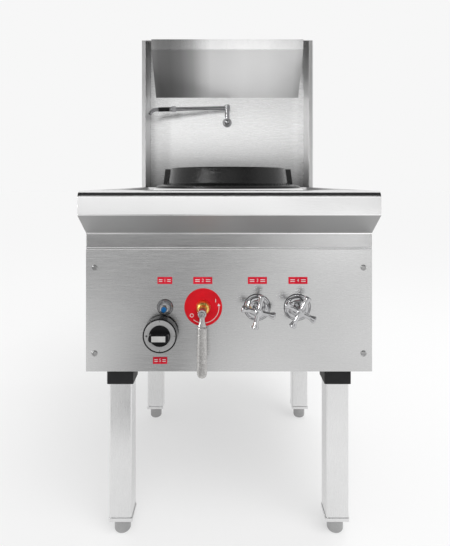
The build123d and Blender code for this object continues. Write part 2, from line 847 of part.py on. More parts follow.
with BuildPart() as gas_manifold:
    with BuildLine():
        gas_run = FilletPolyline(
            (gas_inlet_x, inlet_end_y, pipe_z),
            (gas_inlet_x, valve_line_y, pipe_z),
            (main_valve_x, valve_line_y, pipe_z),
            (main_valve_x, valve_line_y, control_row_z - main_valve_length / 2),
            radius=pipe_bend,
        )
    with BuildSketch(Plane(gas_run @ 0, z_dir=gas_run % 0)):
        Circle(gas_pipe_radius)
    sweep()
    with BuildSketch(Plane.XZ.offset(-inlet_end_y)):
        with Locations((gas_inlet_x, pipe_z)):
            Circle(gas_thread_radius)
    extrude(amount=thread_length)
    with BuildSketch(Plane.XY.offset(pipe_z)):
        with Locations((knob_x, valve_line_y)):
            Circle(branch_radius)
    extrude(amount=knob_z - knob_valve_size[2] / 2 - pipe_z)
    with BuildSketch(Plane(gas_run @ 0, z_dir=gas_run % 0)):
        Circle(gas_pipe_bore)
    sweep(path=gas_run, mode=Mode.SUBTRACT)
save(gas_manifold, "gas_manifold")

with BuildPart() as main_valve:
    with Locations((main_valve_x, valve_line_y, control_row_z)):
        Cylinder(main_valve_radius, main_valve_length)
    with BuildSketch(
        Plane.XY.offset(control_row_z - main_valve_length / 2),
        Plane.XY.offset(control_row_z + main_valve_length / 2 - valve_nut_height),
    ):
        with Locations((main_valve_x, valve_line_y)):
            RegularPolygon(main_valve_radius + valve_nut_step, 6)
    extrude(amount=valve_nut_height)
    with BuildSketch(Plane.XZ.offset(-valve_line_y)):
        with Locations((main_valve_x, control_row_z)):
            Circle(bonnet_neck_radius)
    extrude(amount=valve_line_y - panel_y)
    with Locations((main_valve_x, valve_line_y, control_row_z)):
        Cylinder(valve_bore, main_valve_length, mode=Mode.SUBTRACT)
    with BuildSketch(Plane.XZ.offset(-panel_y)):
        with Locations((main_valve_x, control_row_z)):
            Circle(spindle_radius + running_fit)
    extrude(amount=-valve_stem_bore_depth, mode=Mode.SUBTRACT)
    with BuildSketch(Plane.YZ.offset(main_valve_x)):
        with BuildLine():
            Polyline(
                (panel_y, control_row_z + spindle_radius + running_fit),
                (panel_y, control_row_z + dial_hole_radius),
                (panel_y - dial_thickness, control_row_z + dial_hole_radius),
                (panel_y - dial_thickness, control_row_z + bonnet_radius),
                *[(panel_y - out, control_row_z + radius) for out, radius in bonnet_steps],
                (panel_y - bonnet_front, control_row_z + spindle_radius + running_fit),
                close=True,
            )
        make_face()
    revolve(axis=Axis((main_valve_x, 0, control_row_z), (0, 1, 0)))
save(main_valve, "main_valve")

with BuildPart() as dial_plate:
    with BuildSketch(Plane.XZ.offset(-panel_y)):
        with Locations((main_valve_x, control_row_z)):
            Circle(dial_radius)
            Circle(dial_hole_radius, mode=Mode.SUBTRACT)
    extrude(amount=dial_thickness)
save(dial_plate, "dial_plate")

lever_hub_radius = 8.5
lever_hub_front = 55
lever_hub_back = 37
lever_hub_rim = 3  # the neck is this much thinner than the hub on each side
lever_neck_drop = 26  # grip's upper end below the lever's axis
grip_end_drop = 127  # grip's lower end below the lever's axis
grip_width = 18.5
grip_flare = 1  # the grip widens by this much on each side towards its end
grip_shoulder = 6
grip_tail = 9  # height of the grip's rounded end
grip_tail_ease = 0.15  # the end's arc is this much larger than a half circle
grip_rounding = 3
grip_front = 59
grip_thickness = 11.5
lever_neck_width = 12
lever_screw_radius = 4.5
lever_screw_height = 3
lever_socket_radius = 2.4
lever_socket_depth = 2
lever_spindle = 28  # length of the lever's spindle behind the panel's face
lever_neck_z = control_row_z - lever_neck_drop
grip_end_z = control_row_z - grip_end_drop
grip_tail_half = grip_width / 2 + grip_flare

with BuildPart() as lever_stem:
    with BuildSketch(Plane.XZ.offset(-panel_y + lever_hub_back)):
        with Locations((main_valve_x, control_row_z)):
            Circle(lever_hub_radius)
    extrude(amount=lever_hub_front - lever_hub_back)
    with BuildSketch(Plane.XZ.offset(-panel_y + lever_hub_back)):
        with Locations((main_valve_x, control_row_z)):
            Circle(spindle_radius)
    extrude(amount=-lever_hub_back - lever_spindle)
    with BuildSketch(Plane.XZ.offset(-panel_y + lever_hub_back + lever_hub_rim)):
        with Locations((main_valve_x, (control_row_z + lever_neck_z) / 2)):
            Rectangle(lever_neck_width, control_row_z - lever_neck_z)
    extrude(amount=lever_hub_front - lever_hub_back - 2 * lever_hub_rim)
    with BuildSketch(Plane.XZ.offset(-panel_y + lever_hub_front)):
        with Locations((main_valve_x, control_row_z)):
            Circle(lever_screw_radius)
    extrude(amount=lever_screw_height)
    with BuildSketch(Plane.XZ.offset(-panel_y + lever_hub_front + lever_screw_height)):
        with Locations((main_valve_x, control_row_z)):
            RegularPolygon(lever_socket_radius, 6)
    extrude(amount=-lever_socket_depth, mode=Mode.SUBTRACT)
save(lever_stem, "lever_stem")

with BuildPart() as lever_grip:
    with BuildSketch(Plane.XZ.offset(-panel_y + grip_front - grip_thickness)):
        with BuildLine():
            Polyline(
                (main_valve_x - grip_tail_half, grip_end_z + grip_tail),
                (main_valve_x - grip_width / 2, lever_neck_z - grip_shoulder),
                (main_valve_x - lever_neck_width / 2, lever_neck_z),
                (main_valve_x + lever_neck_width / 2, lever_neck_z),
                (main_valve_x + grip_width / 2, lever_neck_z - grip_shoulder),
                (main_valve_x + grip_tail_half, grip_end_z + grip_tail),
            )
            RadiusArc(
                (main_valve_x + grip_tail_half, grip_end_z + grip_tail),
                (main_valve_x - grip_tail_half, grip_end_z + grip_tail),
                grip_tail_half + grip_tail_ease,
            )
        make_face()
    extrude(amount=grip_thickness)
    fillet(lever_grip.faces().sort_by(Axis.Y)[0].edges(), grip_rounding)
    fillet(lever_grip.faces().sort_by(Axis.Y)[-1].edges(), grip_rounding)
save(lever_grip, "lever_grip")

# ---------------------------------------------------------------- pilot gas knob
knob_back = 6.3
knob_push = 5
knob_end_gap = 0.3  # left between the pushed knob and the valve's neck
knob_neck_front = knob_back - knob_push - knob_end_gap
knob_face = 28
knob_radius = 34
knob_ring_radius = 33.5
knob_centre_radius = 21.5
knob_ring_thickness = 1
knob_ring_inset = 0.6  # the dial ring stops short of the knob's rounded edge
knob_centre_rise = 2
knob_bar_front = 48
knob_bar_width = 15
knob_bar_length = 41
knob_strip = (28, 11.4, 0.6)
spindle_front = 36
spindle_inner = 26  # spindle's inner end, behind the panel's face
spindle_end_gap = 3  # left behind the pushed spindle
knob_edge_rounding = 0.5
knob_bar_rounding = 1.5
knob_bore_gap = 1
knob_strip_corner = 1

with BuildPart() as pilot_valve:
    with Locations((knob_x, valve_line_y, knob_z)):
        Box(*knob_valve_size)
    with BuildSketch(Plane.XZ.offset(-valve_line_y)):
        with Locations((knob_x, knob_z)):
            Circle(knob_neck_radius)
    extrude(amount=valve_line_y - panel_y + knob_neck_front)
    with BuildSketch(Plane.XZ.offset(-panel_y + knob_neck_front)):
        with Locations((knob_x, knob_z)):
            Circle(spindle_radius + running_fit)
    extrude(
        amount=-knob_neck_front - spindle_inner - knob_push - spindle_end_gap,
        mode=Mode.SUBTRACT,
    )
save(pilot_valve, "pilot_valve")

with BuildPart() as pilot_spindle:
    with BuildSketch(Plane.XZ.offset(-panel_y + spindle_front)):
        with Locations((knob_x, knob_z)):
            Circle(spindle_radius)
    extrude(amount=-spindle_front - spindle_inner)
save(pilot_spindle, "pilot_spindle")

with BuildPart() as pilot_knob:
    with BuildSketch(Plane.XZ.offset(-panel_y + knob_back)):
        with Locations((knob_x, knob_z)):
            Circle(knob_radius)
    extrude(amount=knob_face - knob_back)
    fillet(pilot_knob.faces().sort_by(Axis.Y)[0].edges(), knob_edge_rounding)
    with BuildSketch(Plane.XZ.offset(-panel_y + knob_face)):
        with Locations((knob_x, knob_z)):
            Circle(knob_centre_radius)
    extrude(amount=knob_centre_rise)
    with BuildSketch(Plane.XZ.offset(-panel_y + knob_face)):
        with Locations((knob_x, knob_z)):
            SlotOverall(knob_bar_length, knob_bar_width)
    extrude(amount=knob_bar_front - knob_face)
    fillet(pilot_knob.faces().sort_by(Axis.Y)[0].edges(), knob_bar_rounding)
    with BuildSketch(Plane.XZ.offset(-panel_y + knob_back)):
        with Locations((knob_x, knob_z)):
            Circle(spindle_radius + running_fit)
    extrude(amount=spindle_front - knob_back + knob_bore_gap, mode=Mode.SUBTRACT)
save(pilot_knob, "pilot_knob")

with BuildPart() as knob_dial_ring:
    with BuildSketch(Plane.XZ.offset(-panel_y + knob_face)):
        with Locations((knob_x, knob_z)):
            Circle(knob_ring_radius - knob_ring_inset)
            Circle(knob_centre_radius, mode=Mode.SUBTRACT)
    extrude(amount=knob_ring_thickness)
save(knob_dial_ring, "knob_dial_ring")

with BuildPart() as knob_marker:
    with BuildSketch(Plane.XZ.offset(-panel_y + knob_bar_front)):
        with Locations((knob_x, knob_z)):
            RectangleRounded(knob_strip[0], knob_strip[1], knob_strip_corner)
    extrude(amount=knob_strip[2])
save(knob_marker, "knob_marker")

# ---------------------------------------------------------------- piezo igniter
igniter_bezel_radius = 16
igniter_front = 17
button_front = 24.6
button_radius = 5.75
igniter_length = 62
igniter_bezel_thickness = 3
igniter_nut_radius = 12
igniter_nut_front = 9
button_bore_depth = 24  # bore and button, behind the panel's face
button_tail = 14
button_rounding = 1.5

with BuildPart() as igniter_body:
    with BuildSketch(Plane.XZ.offset(-panel_y)):
        with Locations((igniter_x, control_row_z)):
            Circle(igniter_bezel_radius)
    extrude(amount=igniter_bezel_thickness)
    with BuildSketch(Plane.XZ.offset(-panel_y)):
        with Locations((igniter_x, control_row_z)):
            RegularPolygon(igniter_nut_radius, 6)
    extrude(amount=igniter_nut_front)
    with BuildSketch(Plane.XZ.offset(-panel_y + igniter_front)):
        with Locations((igniter_x, control_row_z)):
            Circle(igniter_barrel_radius)
    extrude(amount=-igniter_front - igniter_length)
    with BuildSketch(Plane.XZ.offset(-panel_y + igniter_front)):
        with Locations((igniter_x, control_row_z)):
            Circle(button_radius + running_fit)
    extrude(amount=-igniter_front - button_bore_depth, mode=Mode.SUBTRACT)
save(igniter_body, "igniter_body")

with BuildPart() as igniter_button:
    with BuildSketch(Plane.XZ.offset(-panel_y + button_front)):
        with Locations((igniter_x, control_row_z)):
            Circle(button_radius)
    extrude(amount=-button_front - button_tail)
    fillet(igniter_button.faces().sort_by(Axis.Y)[0].edges(), button_rounding)
save(igniter_button, "igniter_button")

# ---------------------------------------------------------------- pilot burner, electrode and lead
pilot_tube_radius = 3
pilot_bore = 2
pilot_rise = 27  # pilot burner's top above the chamber's floor
pilot_slot = (3, 4)  # flame slot across the pilot burner, width and height
pilot_slot_drop = 8
pilot_bend = 14
ceramic_radius = 4
ceramic_length = 50
electrode_radius = 1
lead_radius = 1.5
lead_bend = 10
pilot_foot_z = chamber_bottom - burner_height
pilot_top_z = chamber_bottom + pilot_rise
pilot_height = pilot_top_z - pilot_foot_z
igniter_rear_y = panel_y + igniter_length
pilot_valve_rear_y = valve_line_y + knob_valve_size[1] / 2

with BuildPart() as pilot_burner:
    with Locations((*pilot_point, pilot_foot_z)):
        Cylinder(pilot_body_radius, pilot_height, align=upright)
        Cylinder(pilot_bore, pilot_height, align=upright, mode=Mode.SUBTRACT)
    with Locations((*pilot_point, pilot_top_z - pilot_slot_drop)):
        Box(3 * pilot_body_radius, *pilot_slot, mode=Mode.SUBTRACT)
    with BuildLine() as pilot_line:
        FilletPolyline(
            (knob_x, pilot_valve_rear_y, knob_z),
            (knob_x, pilot_point[1], knob_z),
            (pilot_point[0], pilot_point[1], knob_z),
            (pilot_point[0], pilot_point[1], pilot_foot_z),
            radius=pilot_bend,
        )
    with BuildSketch(Plane(pilot_line.line @ 0, z_dir=pilot_line.line % 0)):
        Circle(pilot_tube_radius)
    sweep(path=pilot_line.line)
save(pilot_burner, "pilot_burner")

with BuildPart() as spark_electrode:
    with Locations((*electrode_point, pilot_foot_z)):
        Cylinder(ceramic_radius, ceramic_length, align=upright)
        Cylinder(electrode_radius, pilot_height, align=upright)
    with BuildLine() as lead_line:
        FilletPolyline(
            (igniter_x, igniter_rear_y, control_row_z),
            (igniter_x, electrode_point[1], control_row_z),
            (electrode_point[0], electrode_point[1], control_row_z),
            (electrode_point[0], electrode_point[1], pilot_foot_z),
            radius=lead_bend,
        )
    with BuildSketch(Plane(lead_line.line @ 0, z_dir=lead_line.line % 0)):
        Circle(lead_radius)
    sweep(path=lead_line.line)
save(spark_electrode, "spark_electrode")

# ---------------------------------------------------------------- taps
tap_body_radius = 12
tap_body_length = 50
tap_bore = 5
tap_neck_front = 26
tap_stem_bore_depth = 30  # bore and stem, behind the panel's face
tap_stem_length = 26
escutcheon_radius = 27.25
escutcheon_depth = 14
escutcheon_edge = 2
escutcheon_mouth_radius = 12
escutcheon_curve = 28
tap_hub_back = 27
tap_hub_front = 44
tap_hub_radius = 9.5
tap_cap_radius = 6.5
tap_cap_height = 2.4
tap_arm_front = 39  # the arms' axes stand this far out from the panel
tap_arm_reach = 32
tap_bulb_radius = 5.2
tap_hub_rounding = 2
tap_arm_tip_radius = 2.8
tap_arm_taper = -3  # degrees; the arms widen towards the hub
tap_arm_root = 3  # how far from the hub's axis the arms begin
tap_turns = (-13, -29)  # how the handles stand in the closed position

with BuildPart() as tap_valves:
    for x in tap_xs:
        with Locations((x, valve_line_y, control_row_z)):
            Cylinder(tap_body_radius, tap_body_length)
        with BuildSketch(Plane.XZ.offset(-valve_line_y)):
            with Locations((x, control_row_z)):
                Circle(tap_neck_radius)
        extrude(amount=valve_line_y - panel_y + tap_neck_front)
        with Locations((x, valve_line_y, control_row_z)):
            Cylinder(tap_bore, tap_body_length, mode=Mode.SUBTRACT)
        with BuildSketch(Plane.XZ.offset(-panel_y + tap_neck_front)):
            with Locations((x, control_row_z)):
                Circle(spindle_radius + running_fit)
        extrude(amount=-tap_neck_front - tap_stem_bore_depth, mode=Mode.SUBTRACT)
save(tap_valves, "tap_valves")

with BuildPart() as tap_flanges:
    for x in tap_xs:
        with BuildSketch(Plane.YZ.offset(x)):
            with BuildLine():
                cup = Polyline(
                    (panel_y, control_row_z + tap_neck_radius),
                    (panel_y, control_row_z + escutcheon_radius),
                    (panel_y - escutcheon_edge, control_row_z + escutcheon_radius),
                )
                dome = RadiusArc(
                    cup @ 1,
                    (panel_y - escutcheon_depth, control_row_z + escutcheon_mouth_radius),
                    escutcheon_curve,
                )
                Polyline(
                    dome @ 1,
                    (panel_y - escutcheon_depth, control_row_z + tap_neck_radius),
                    cup @ 0,
                )
            make_face()
        revolve(axis=Axis((x, 0, control_row_z), (0, 1, 0)))
save(tap_flanges, "tap_flanges")

for side, x, turn in zip(("left", "right"), tap_xs, tap_turns):
    with BuildPart() as tap_handle:
        with BuildSketch(Plane.XZ.offset(-panel_y + tap_hub_back)):
            with Locations((x, control_row_z)):
                Circle(tap_hub_radius)
        extrude(amount=tap_hub_front - tap_hub_back)
        fillet(tap_handle.faces().sort_by(Axis.Y)[0].edges(), tap_hub_rounding)
        with BuildSketch(Plane.XZ.offset(-panel_y + tap_hub_back)):
            with Locations((x, control_row_z)):
                Circle(spindle_radius)
        extrude(amount=-tap_hub_back - tap_stem_length)
        for angle in (0, 90, 180, 270):
            aim = radians(angle + turn)
            tip = Plane(
                (
                    x + (tap_arm_reach - tap_bulb_radius) * cos(aim),
                    panel_y - tap_arm_front,
                    control_row_z + (tap_arm_reach - tap_bulb_radius) * sin(aim),
                ),
                z_dir=(-cos(aim), 0, -sin(aim)),
            )
            with Locations(tip):
                Sphere(tap_bulb_radius)
            with BuildSketch(tip):
                Circle(tap_arm_tip_radius)
            extrude(
                amount=tap_arm_reach - tap_bulb_radius - tap_arm_root,
                taper=tap_arm_taper,
            )
        with BuildSketch(Plane.XZ.offset(-panel_y + tap_hub_front)):
            with Locations((x, control_row_z)):
                Circle(tap_cap_radius)
        extrude(amount=tap_cap_height)
    save(tap_handle, f"tap_handle_{side}")

# ---------------------------------------------------------------- water pipes
splash_set_back = 110  # wings' front edges to the splash back
riser_set_back = 27  # splash back's front face to the flue riser
splash_y = carcass_rear_y + splash_set_back
riser_front_y = splash_y + riser_set_back
water_bore = 6.3
water_branch_radius = 7.4
water_bend = 18
faucet_pipe_y = (splash_y + sheet + riser_front_y) / 2
outlet_z = 976
tap_bottom_z = control_row_z - tap_body_length / 2
tap_top_z = control_row_z + tap_body_length / 2

with BuildPart() as water_manifold:
    with BuildLine() as water_line:
        FilletPolyline(
            (water_inlet_x, inlet_end_y, pipe_z),
            (water_inlet_x, valve_line_y, pipe_z),
            (tap_xs[0], valve_line_y, pipe_z),
            (tap_xs[0], valve_line_y, tap_bottom_z),
            radius=water_bend,
        )
    with BuildSketch(Plane(water_line.line @ 0, z_dir=water_line.line % 0)):
        Circle(water_pipe_radius)
    sweep()
    with BuildSketch(Plane.XZ.offset(-inlet_end_y)):
        with Locations((water_inlet_x, pipe_z)):
            Circle(water_thread_radius)
    extrude(amount=thread_length)
    with BuildSketch(Plane.XY.offset(pipe_z)):
        with Locations((tap_xs[1], valve_line_y)):
            Circle(water_branch_radius)
    extrude(amount=tap_bottom_z - pipe_z)
    with BuildSketch(Plane(water_line.line @ 0, z_dir=water_line.line % 0)):
        Circle(water_bore)
    sweep(path=water_line.line, mode=Mode.SUBTRACT)
    with BuildSketch(Plane.XY.offset(pipe_z)):
        with Locations((tap_xs[1], valve_line_y)):
            Circle(tap_bore)
    extrude(amount=tap_bottom_z - pipe_z, mode=Mode.SUBTRACT)
save(water_manifold, "water_manifold")

with BuildPart() as faucet_pipe:
    with BuildLine() as faucet_line:
        FilletPolyline(
            (tap_xs[1], valve_line_y, tap_top_z),
            (tap_xs[1], valve_line_y, faucet_pipe_z),
            (water_inlet_x, valve_line_y, faucet_pipe_z),
            (water_inlet_x, faucet_pipe_y, faucet_pipe_z),
            (water_inlet_x, faucet_pipe_y, outlet_z),
            (0, faucet_pipe_y, outlet_z),
            radius=water_bend,
        )
    with BuildSketch(Plane(faucet_line.line @ 0, z_dir=faucet_line.line % 0)):
        Circle(water_pipe_radius)
    sweep()
save(faucet_pipe, "faucet_pipe")

spray_bar_radius = 4.5
spray_bar_length = 380
spray_hole = 1
spray_hole_count = 12
spray_hole_pitch = 30
spray_bar_gap = 1  # between the bar and the deck's floor
spray_feed_rise = 3  # the feed pipe runs on into the bar
spray_bar_z = dish_floor_z + spray_bar_gap + spray_bar_radius

with BuildPart() as deck_spray_bar:
    with BuildSketch(Plane.XY.offset(tap_top_z)):
        with Locations((deck_pipe_x, valve_line_y)):
            Circle(deck_pipe_radius)
    extrude(amount=dish_floor_z + spray_feed_rise - tap_top_z)
    with Locations((0, spray_bar_y, spray_bar_z)):
        Cylinder(spray_bar_radius, spray_bar_length, rotation=(0, 90, 0))
    with Locations((0, spray_bar_y, spray_bar_z)):
        with GridLocations(spray_hole_pitch, 1, spray_hole_count, 1):
            Cylinder(
                spray_hole,
                spray_bar_radius,
                rotation=(90, 0, 0),
                align=hanging,
                mode=Mode.SUBTRACT,
            )
save(deck_spray_bar, "deck_spray_bar")

# ---------------------------------------------------------------- splash column and flue
column_base_height = 146  # the casing's foot below the hob
flue_opening_z = 1110
flue_rim = 4  # splash back and casing reach this far past the flue's sides
cowl_side_gap = 20.5  # between the cowl and each wing
cowl_front_set_forward = 5  # the cowl's band stands this far in front of the wings
cowl_band = 36
cowl_foot_z = 1070
cowl_bend_radius = 5
strip_gap = 0.5  # between the cowl's sides and the strips that close the column's top
cheek_step = 1  # the cowl's cheeks lie just inside its folded sheet
riser_lift = 10  # riser's foot above the casing's foot
riser_top = 1200
column_base_bottom = hob_height - column_base_height
riser_bottom = column_base_bottom + riser_lift
inner_half = half_width - wing_thickness
cowl_width = 2 * (inner_half - cowl_side_gap)
cowl_y = carcass_rear_y - cowl_front_set_forward
column_mid_y = carcass_rear_y + column_depth / 2

with BuildPart() as splash_wings:
    for side in (-1, 1):
        with Locations((side * (half_width - wing_thickness / 2), column_mid_y, hob_height)):
            Box(
                wing_thickness,
                column_depth,
                wing_top - hob_height,
                align=upright,
            )
            Box(
                wing_thickness - 2 * sheet,
                column_depth - 2 * sheet,
                wing_top - hob_height - sheet,
                align=upright,
                mode=Mode.SUBTRACT,
            )
save(splash_wings, "splash_wings")

with BuildPart() as splash_back:
    with BuildSketch(Plane.XZ.offset(-splash_y)):
        with Locations((0, (hob_height + wing_top) / 2)):
            Rectangle(2 * inner_half, wing_top - hob_height)
        with Locations((0, (flue_opening_z + wing_top) / 2)):
            Rectangle(cowl_width - 2 * flue_rim, wing_top - flue_opening_z, mode=Mode.SUBTRACT)
        with Locations((0, outlet_z)):
            Circle(water_pipe_radius + hole_clearance, mode=Mode.SUBTRACT)
    extrude(amount=-sheet)
    with BuildSketch(Plane.XY.offset(hob_height - sheet)):
        with Locations((0, (carcass_rear_y + splash_y + sheet) / 2)):
            Rectangle(body_width - 2 * sheet, splash_y + sheet - carcass_rear_y)
    extrude(amount=sheet)
save(splash_back, "splash_back")

with BuildPart() as column_casing:
    with BuildSketch(Plane.XZ.offset(-carcass_rear_y)):
        with Locations((0, (column_base_bottom + hob_height) / 2)):
            Rectangle(body_width, hob_height - column_base_bottom)
        with Locations((0, (column_base_bottom + sheet + hob_height) / 2)):
            Rectangle(body_width - 2 * sheet, hob_height - column_base_bottom - sheet, mode=Mode.SUBTRACT)
    extrude(amount=-column_depth + sheet)
    with BuildSketch(Plane.XZ.offset(-rear_y + sheet)):
        with Locations((0, (column_base_bottom + hob_height) / 2)):
            Rectangle(body_width, hob_height - column_base_bottom)
        with Locations((0, (column_base_bottom + wing_top) / 2)):
            Rectangle(2 * inner_half, wing_top - column_base_bottom)
    extrude(amount=-sheet)
    with BuildSketch(Plane.XY.offset(wing_top - sheet)):
        with Locations((0, (splash_y + sheet + rear_y) / 2)):
            Rectangle(2 * inner_half, rear_y - splash_y - sheet)
            Rectangle(cowl_width + 2 * flue_rim, rear_y - splash_y - sheet, mode=Mode.SUBTRACT)
    extrude(amount=sheet)
save(column_casing, "column_casing")

with BuildPart() as column_top_strips:
    with BuildSketch(Plane.XY.offset(wing_top - sheet)):
        with Locations((0, (carcass_rear_y + splash_y) / 2)):
            Rectangle(2 * inner_half, splash_y - carcass_rear_y)
            Rectangle(cowl_width + 2 * strip_gap, splash_y - carcass_rear_y, mode=Mode.SUBTRACT)
    extrude(amount=sheet)
save(column_top_strips, "column_top_strips")

with BuildPart() as flue_riser:
    with Locations((0, (riser_front_y + rear_y - sheet) / 2, riser_bottom)):
        Box(
            cowl_width,
            rear_y - sheet - riser_front_y,
            riser_top - riser_bottom,
            align=upright,
        )
    with Locations((0, (riser_front_y + rear_y - sheet) / 2, riser_bottom + sheet)):
        Box(
            cowl_width - 2 * sheet,
            rear_y - 3 * sheet - riser_front_y,
            riser_top - riser_bottom,
            align=upright,
            mode=Mode.SUBTRACT,
        )
    with BuildSketch(Plane.XZ.offset(-riser_front_y)):
        with Locations((0, (flue_box_bottom + flue_box_top) / 2)):
            Rectangle(flue_box_width - 2 * sheet, flue_box_top - flue_box_bottom - 2 * sheet)
    extrude(amount=-sheet, mode=Mode.SUBTRACT)
save(flue_riser, "flue_riser")

with BuildPart() as flue_box:
    with BuildSketch(Plane.XZ.offset(-ring_y - chamber_radius / 2)):
        with Locations((0, (flue_box_bottom + flue_box_top) / 2)):
            Rectangle(flue_box_width, flue_box_top - flue_box_bottom)
            Rectangle(
                flue_box_width - 2 * sheet,
                flue_box_top - flue_box_bottom - 2 * sheet,
                mode=Mode.SUBTRACT,
            )
    extrude(amount=-(riser_front_y - ring_y - chamber_radius / 2))
    with Locations((0, ring_y, chamber_bottom)):
        Cylinder(
            chamber_radius,
            chamber_top - chamber_bottom,
            align=upright,
            mode=Mode.SUBTRACT,
        )
save(flue_box, "flue_box")

with BuildPart() as flue_cowl:
    with BuildSketch(Plane.YZ.offset(-cowl_width / 2)):
        with BuildLine():
            FilletPolyline(
                (cowl_y, total_height),
                (cowl_y, total_height - cowl_band),
                (splash_y, cowl_foot_z),
                radius=cowl_bend_radius,
            )
            offset(amount=sheet, side=Side.LEFT)
        make_face()
    extrude(amount=cowl_width)
    with BuildSketch(Plane.YZ.offset(-cowl_width / 2), Plane.YZ.offset(cowl_width / 2 - sheet)):
        with BuildLine():
            Polyline(
                (splash_y, total_height),
                (cowl_y + sheet / 2, total_height),
                (cowl_y + sheet / 2, total_height - cowl_band - cheek_step),
                (splash_y, cowl_foot_z + 2 * cheek_step),
                close=True,
            )
        make_face()
    extrude(amount=sheet)
    split(bisect_by=Plane.XZ.offset(-splash_y), keep=Keep.TOP)
save(flue_cowl, "flue_cowl")

guard_height = 12
guard_thickness = 3
guard_pitch = 50
guard_count = 10
guard_drop = 8  # guard bars' tops below the cowl's top

with BuildPart() as flue_guard:
    with Locations((0, (cowl_y + rear_y) / 2, total_height - guard_drop - guard_height / 2)):
        with GridLocations(guard_pitch, 1, guard_count, 1):
            Box(guard_thickness, rear_y - cowl_y - 2 * sheet, guard_height)
save(flue_guard, "flue_guard")

# ---------------------------------------------------------------- swing faucet
riser_stand_off = 35  # the standing pipe's axis in front of the splash back
faucet_y = splash_y - riser_stand_off
faucet_pipe_outer = 8.15
outlet_flange_radius = 17
outlet_flange = 4
outlet_nut_radius = 13
outlet_nut = 9
outlet_tube_radius = 10.5
elbow_ball_radius = 12.5
hub_rise = 39  # swivel hub's underside above the outlet's axis
hub_height = 23
hub_radius = 10
hub_chamfer = 2
hub_roof = 5
pivot_radius = 6
pivot_bore = 4
pivot_gap = 1  # left between the pivot's end and the hub's roof
swivel_gap = 0.3
arm_rise = 12  # arm's axis above the hub's underside
arm_yaw = 195  # the arm is parked along the left of the splash back
arm_droop = 3.8
arm_radius = 6.7
arm_bore = 5
arm_wing_gap = 109  # what is left for the nut, grip and spout between arm and side
union_nut_radius = 11.5
union_nut_length = 13
union_collar_radius = 9
union_collar_length = 4
light_ring_radius = 8
light_ring_length = 6
grip_radius = 7.8
grip_length = 39
grip_chamfer = 0.8
spout_radius = 6.4
spout_straight = 8
spout_bend = (28, -11.5)  # where the spout's bend ends, from the grip's end
spout_tip = 6
hub_bottom = outlet_z + hub_rise
hub_top = hub_bottom + hub_height
arm_z = hub_bottom + arm_rise
nut_from = half_width - arm_wing_gap
collar_from = nut_from + union_nut_length
nut_to = collar_from + union_collar_length
light_ring_to = nut_to + light_ring_length
grip_to = light_ring_to + grip_length

with BuildPart() as faucet_stand:
    with BuildSketch(Plane.XZ.offset(-splash_y)):
        with Locations((0, outlet_z)):
            Circle(outlet_flange_radius)
    extrude(amount=outlet_flange)
    with BuildSketch(Plane.XZ.offset(-splash_y + outlet_flange)):
        with Locations((0, outlet_z)):
            RegularPolygon(outlet_nut_radius, 6)
    extrude(amount=outlet_nut)
    with BuildSketch(Plane.XZ.offset(-faucet_y)):
        with Locations((0, outlet_z)):
            Circle(outlet_tube_radius)
    extrude(amount=-riser_stand_off)
    with BuildSketch(Plane.XZ.offset(-splash_y)):
        with Locations((0, outlet_z)):
            Circle(water_pipe_radius)
    extrude(amount=-(faucet_pipe_y - water_pipe_radius - splash_y))
    with Locations((0, faucet_y, outlet_z)):
        Sphere(elbow_ball_radius)
    with BuildSketch(Plane.XY.offset(outlet_z)):
        with Locations((0, faucet_y)):
            Circle(faucet_pipe_outer)
    extrude(amount=hub_bottom - outlet_z)
    with BuildSketch(Plane.XY.offset(outlet_z)):
        with Locations((0, faucet_y)):
            Circle(pivot_radius)
    extrude(amount=hub_top - hub_roof - pivot_gap - outlet_z)
    with BuildSketch(Plane.XY.offset(outlet_z)):
        with Locations((0, faucet_y)):
            Circle(pivot_bore)
    extrude(amount=hub_top - hub_roof - pivot_gap - outlet_z, mode=Mode.SUBTRACT)
save(faucet_stand, "faucet_stand")

arm_place = Location((0, faucet_y, arm_z), (0, 0, arm_yaw)) * Location((0, 0, 0), (0, arm_droop, 0))

with BuildPart() as arm_tube:
    with BuildSketch(Plane.YZ):
        Circle(arm_radius)
        Circle(arm_bore, mode=Mode.SUBTRACT)
    extrude(amount=nut_from)

with BuildPart() as faucet_arm:
    with Locations((0, faucet_y, hub_bottom + swivel_gap)):
        Cylinder(hub_radius, hub_height - swivel_gap, align=upright)
    chamfer(faucet_arm.faces().sort_by(Axis.Z)[-1].edges(), hub_chamfer)
    add(arm_tube.part.moved(arm_place))
    with Locations((0, faucet_y, hub_bottom)):
        Cylinder(pivot_radius + running_fit, hub_height - hub_roof, align=upright, mode=Mode.SUBTRACT)
save(faucet_arm, "faucet_arm")

with BuildPart() as faucet_nut:
    with BuildSketch(Plane.YZ.offset(nut_from)):
        RegularPolygon(union_nut_radius, 6)
    extrude(amount=union_nut_length)
    with BuildSketch(Plane.YZ.offset(collar_from)):
        Circle(union_collar_radius)
    extrude(amount=union_collar_length)
    with BuildSketch(Plane.YZ.offset(nut_to)):
        Circle(light_ring_radius)
    extrude(amount=light_ring_length)
    with BuildSketch(Plane.YZ.offset(nut_from)):
        Circle(arm_bore)
    extrude(amount=light_ring_to - nut_from, mode=Mode.SUBTRACT)
faucet_nut.part = faucet_nut.part.moved(arm_place)
save(faucet_nut, "faucet_nut")

with BuildPart() as faucet_grip:
    with BuildSketch(Plane.YZ.offset(light_ring_to)):
        Circle(grip_radius)
    extrude(amount=grip_length)
    chamfer(faucet_grip.edges(), grip_chamfer)
    with BuildSketch(Plane.YZ.offset(light_ring_to)):
        Circle(arm_bore)
    extrude(amount=grip_length, mode=Mode.SUBTRACT)
faucet_grip.part = faucet_grip.part.moved(arm_place)
save(faucet_grip, "faucet_grip")

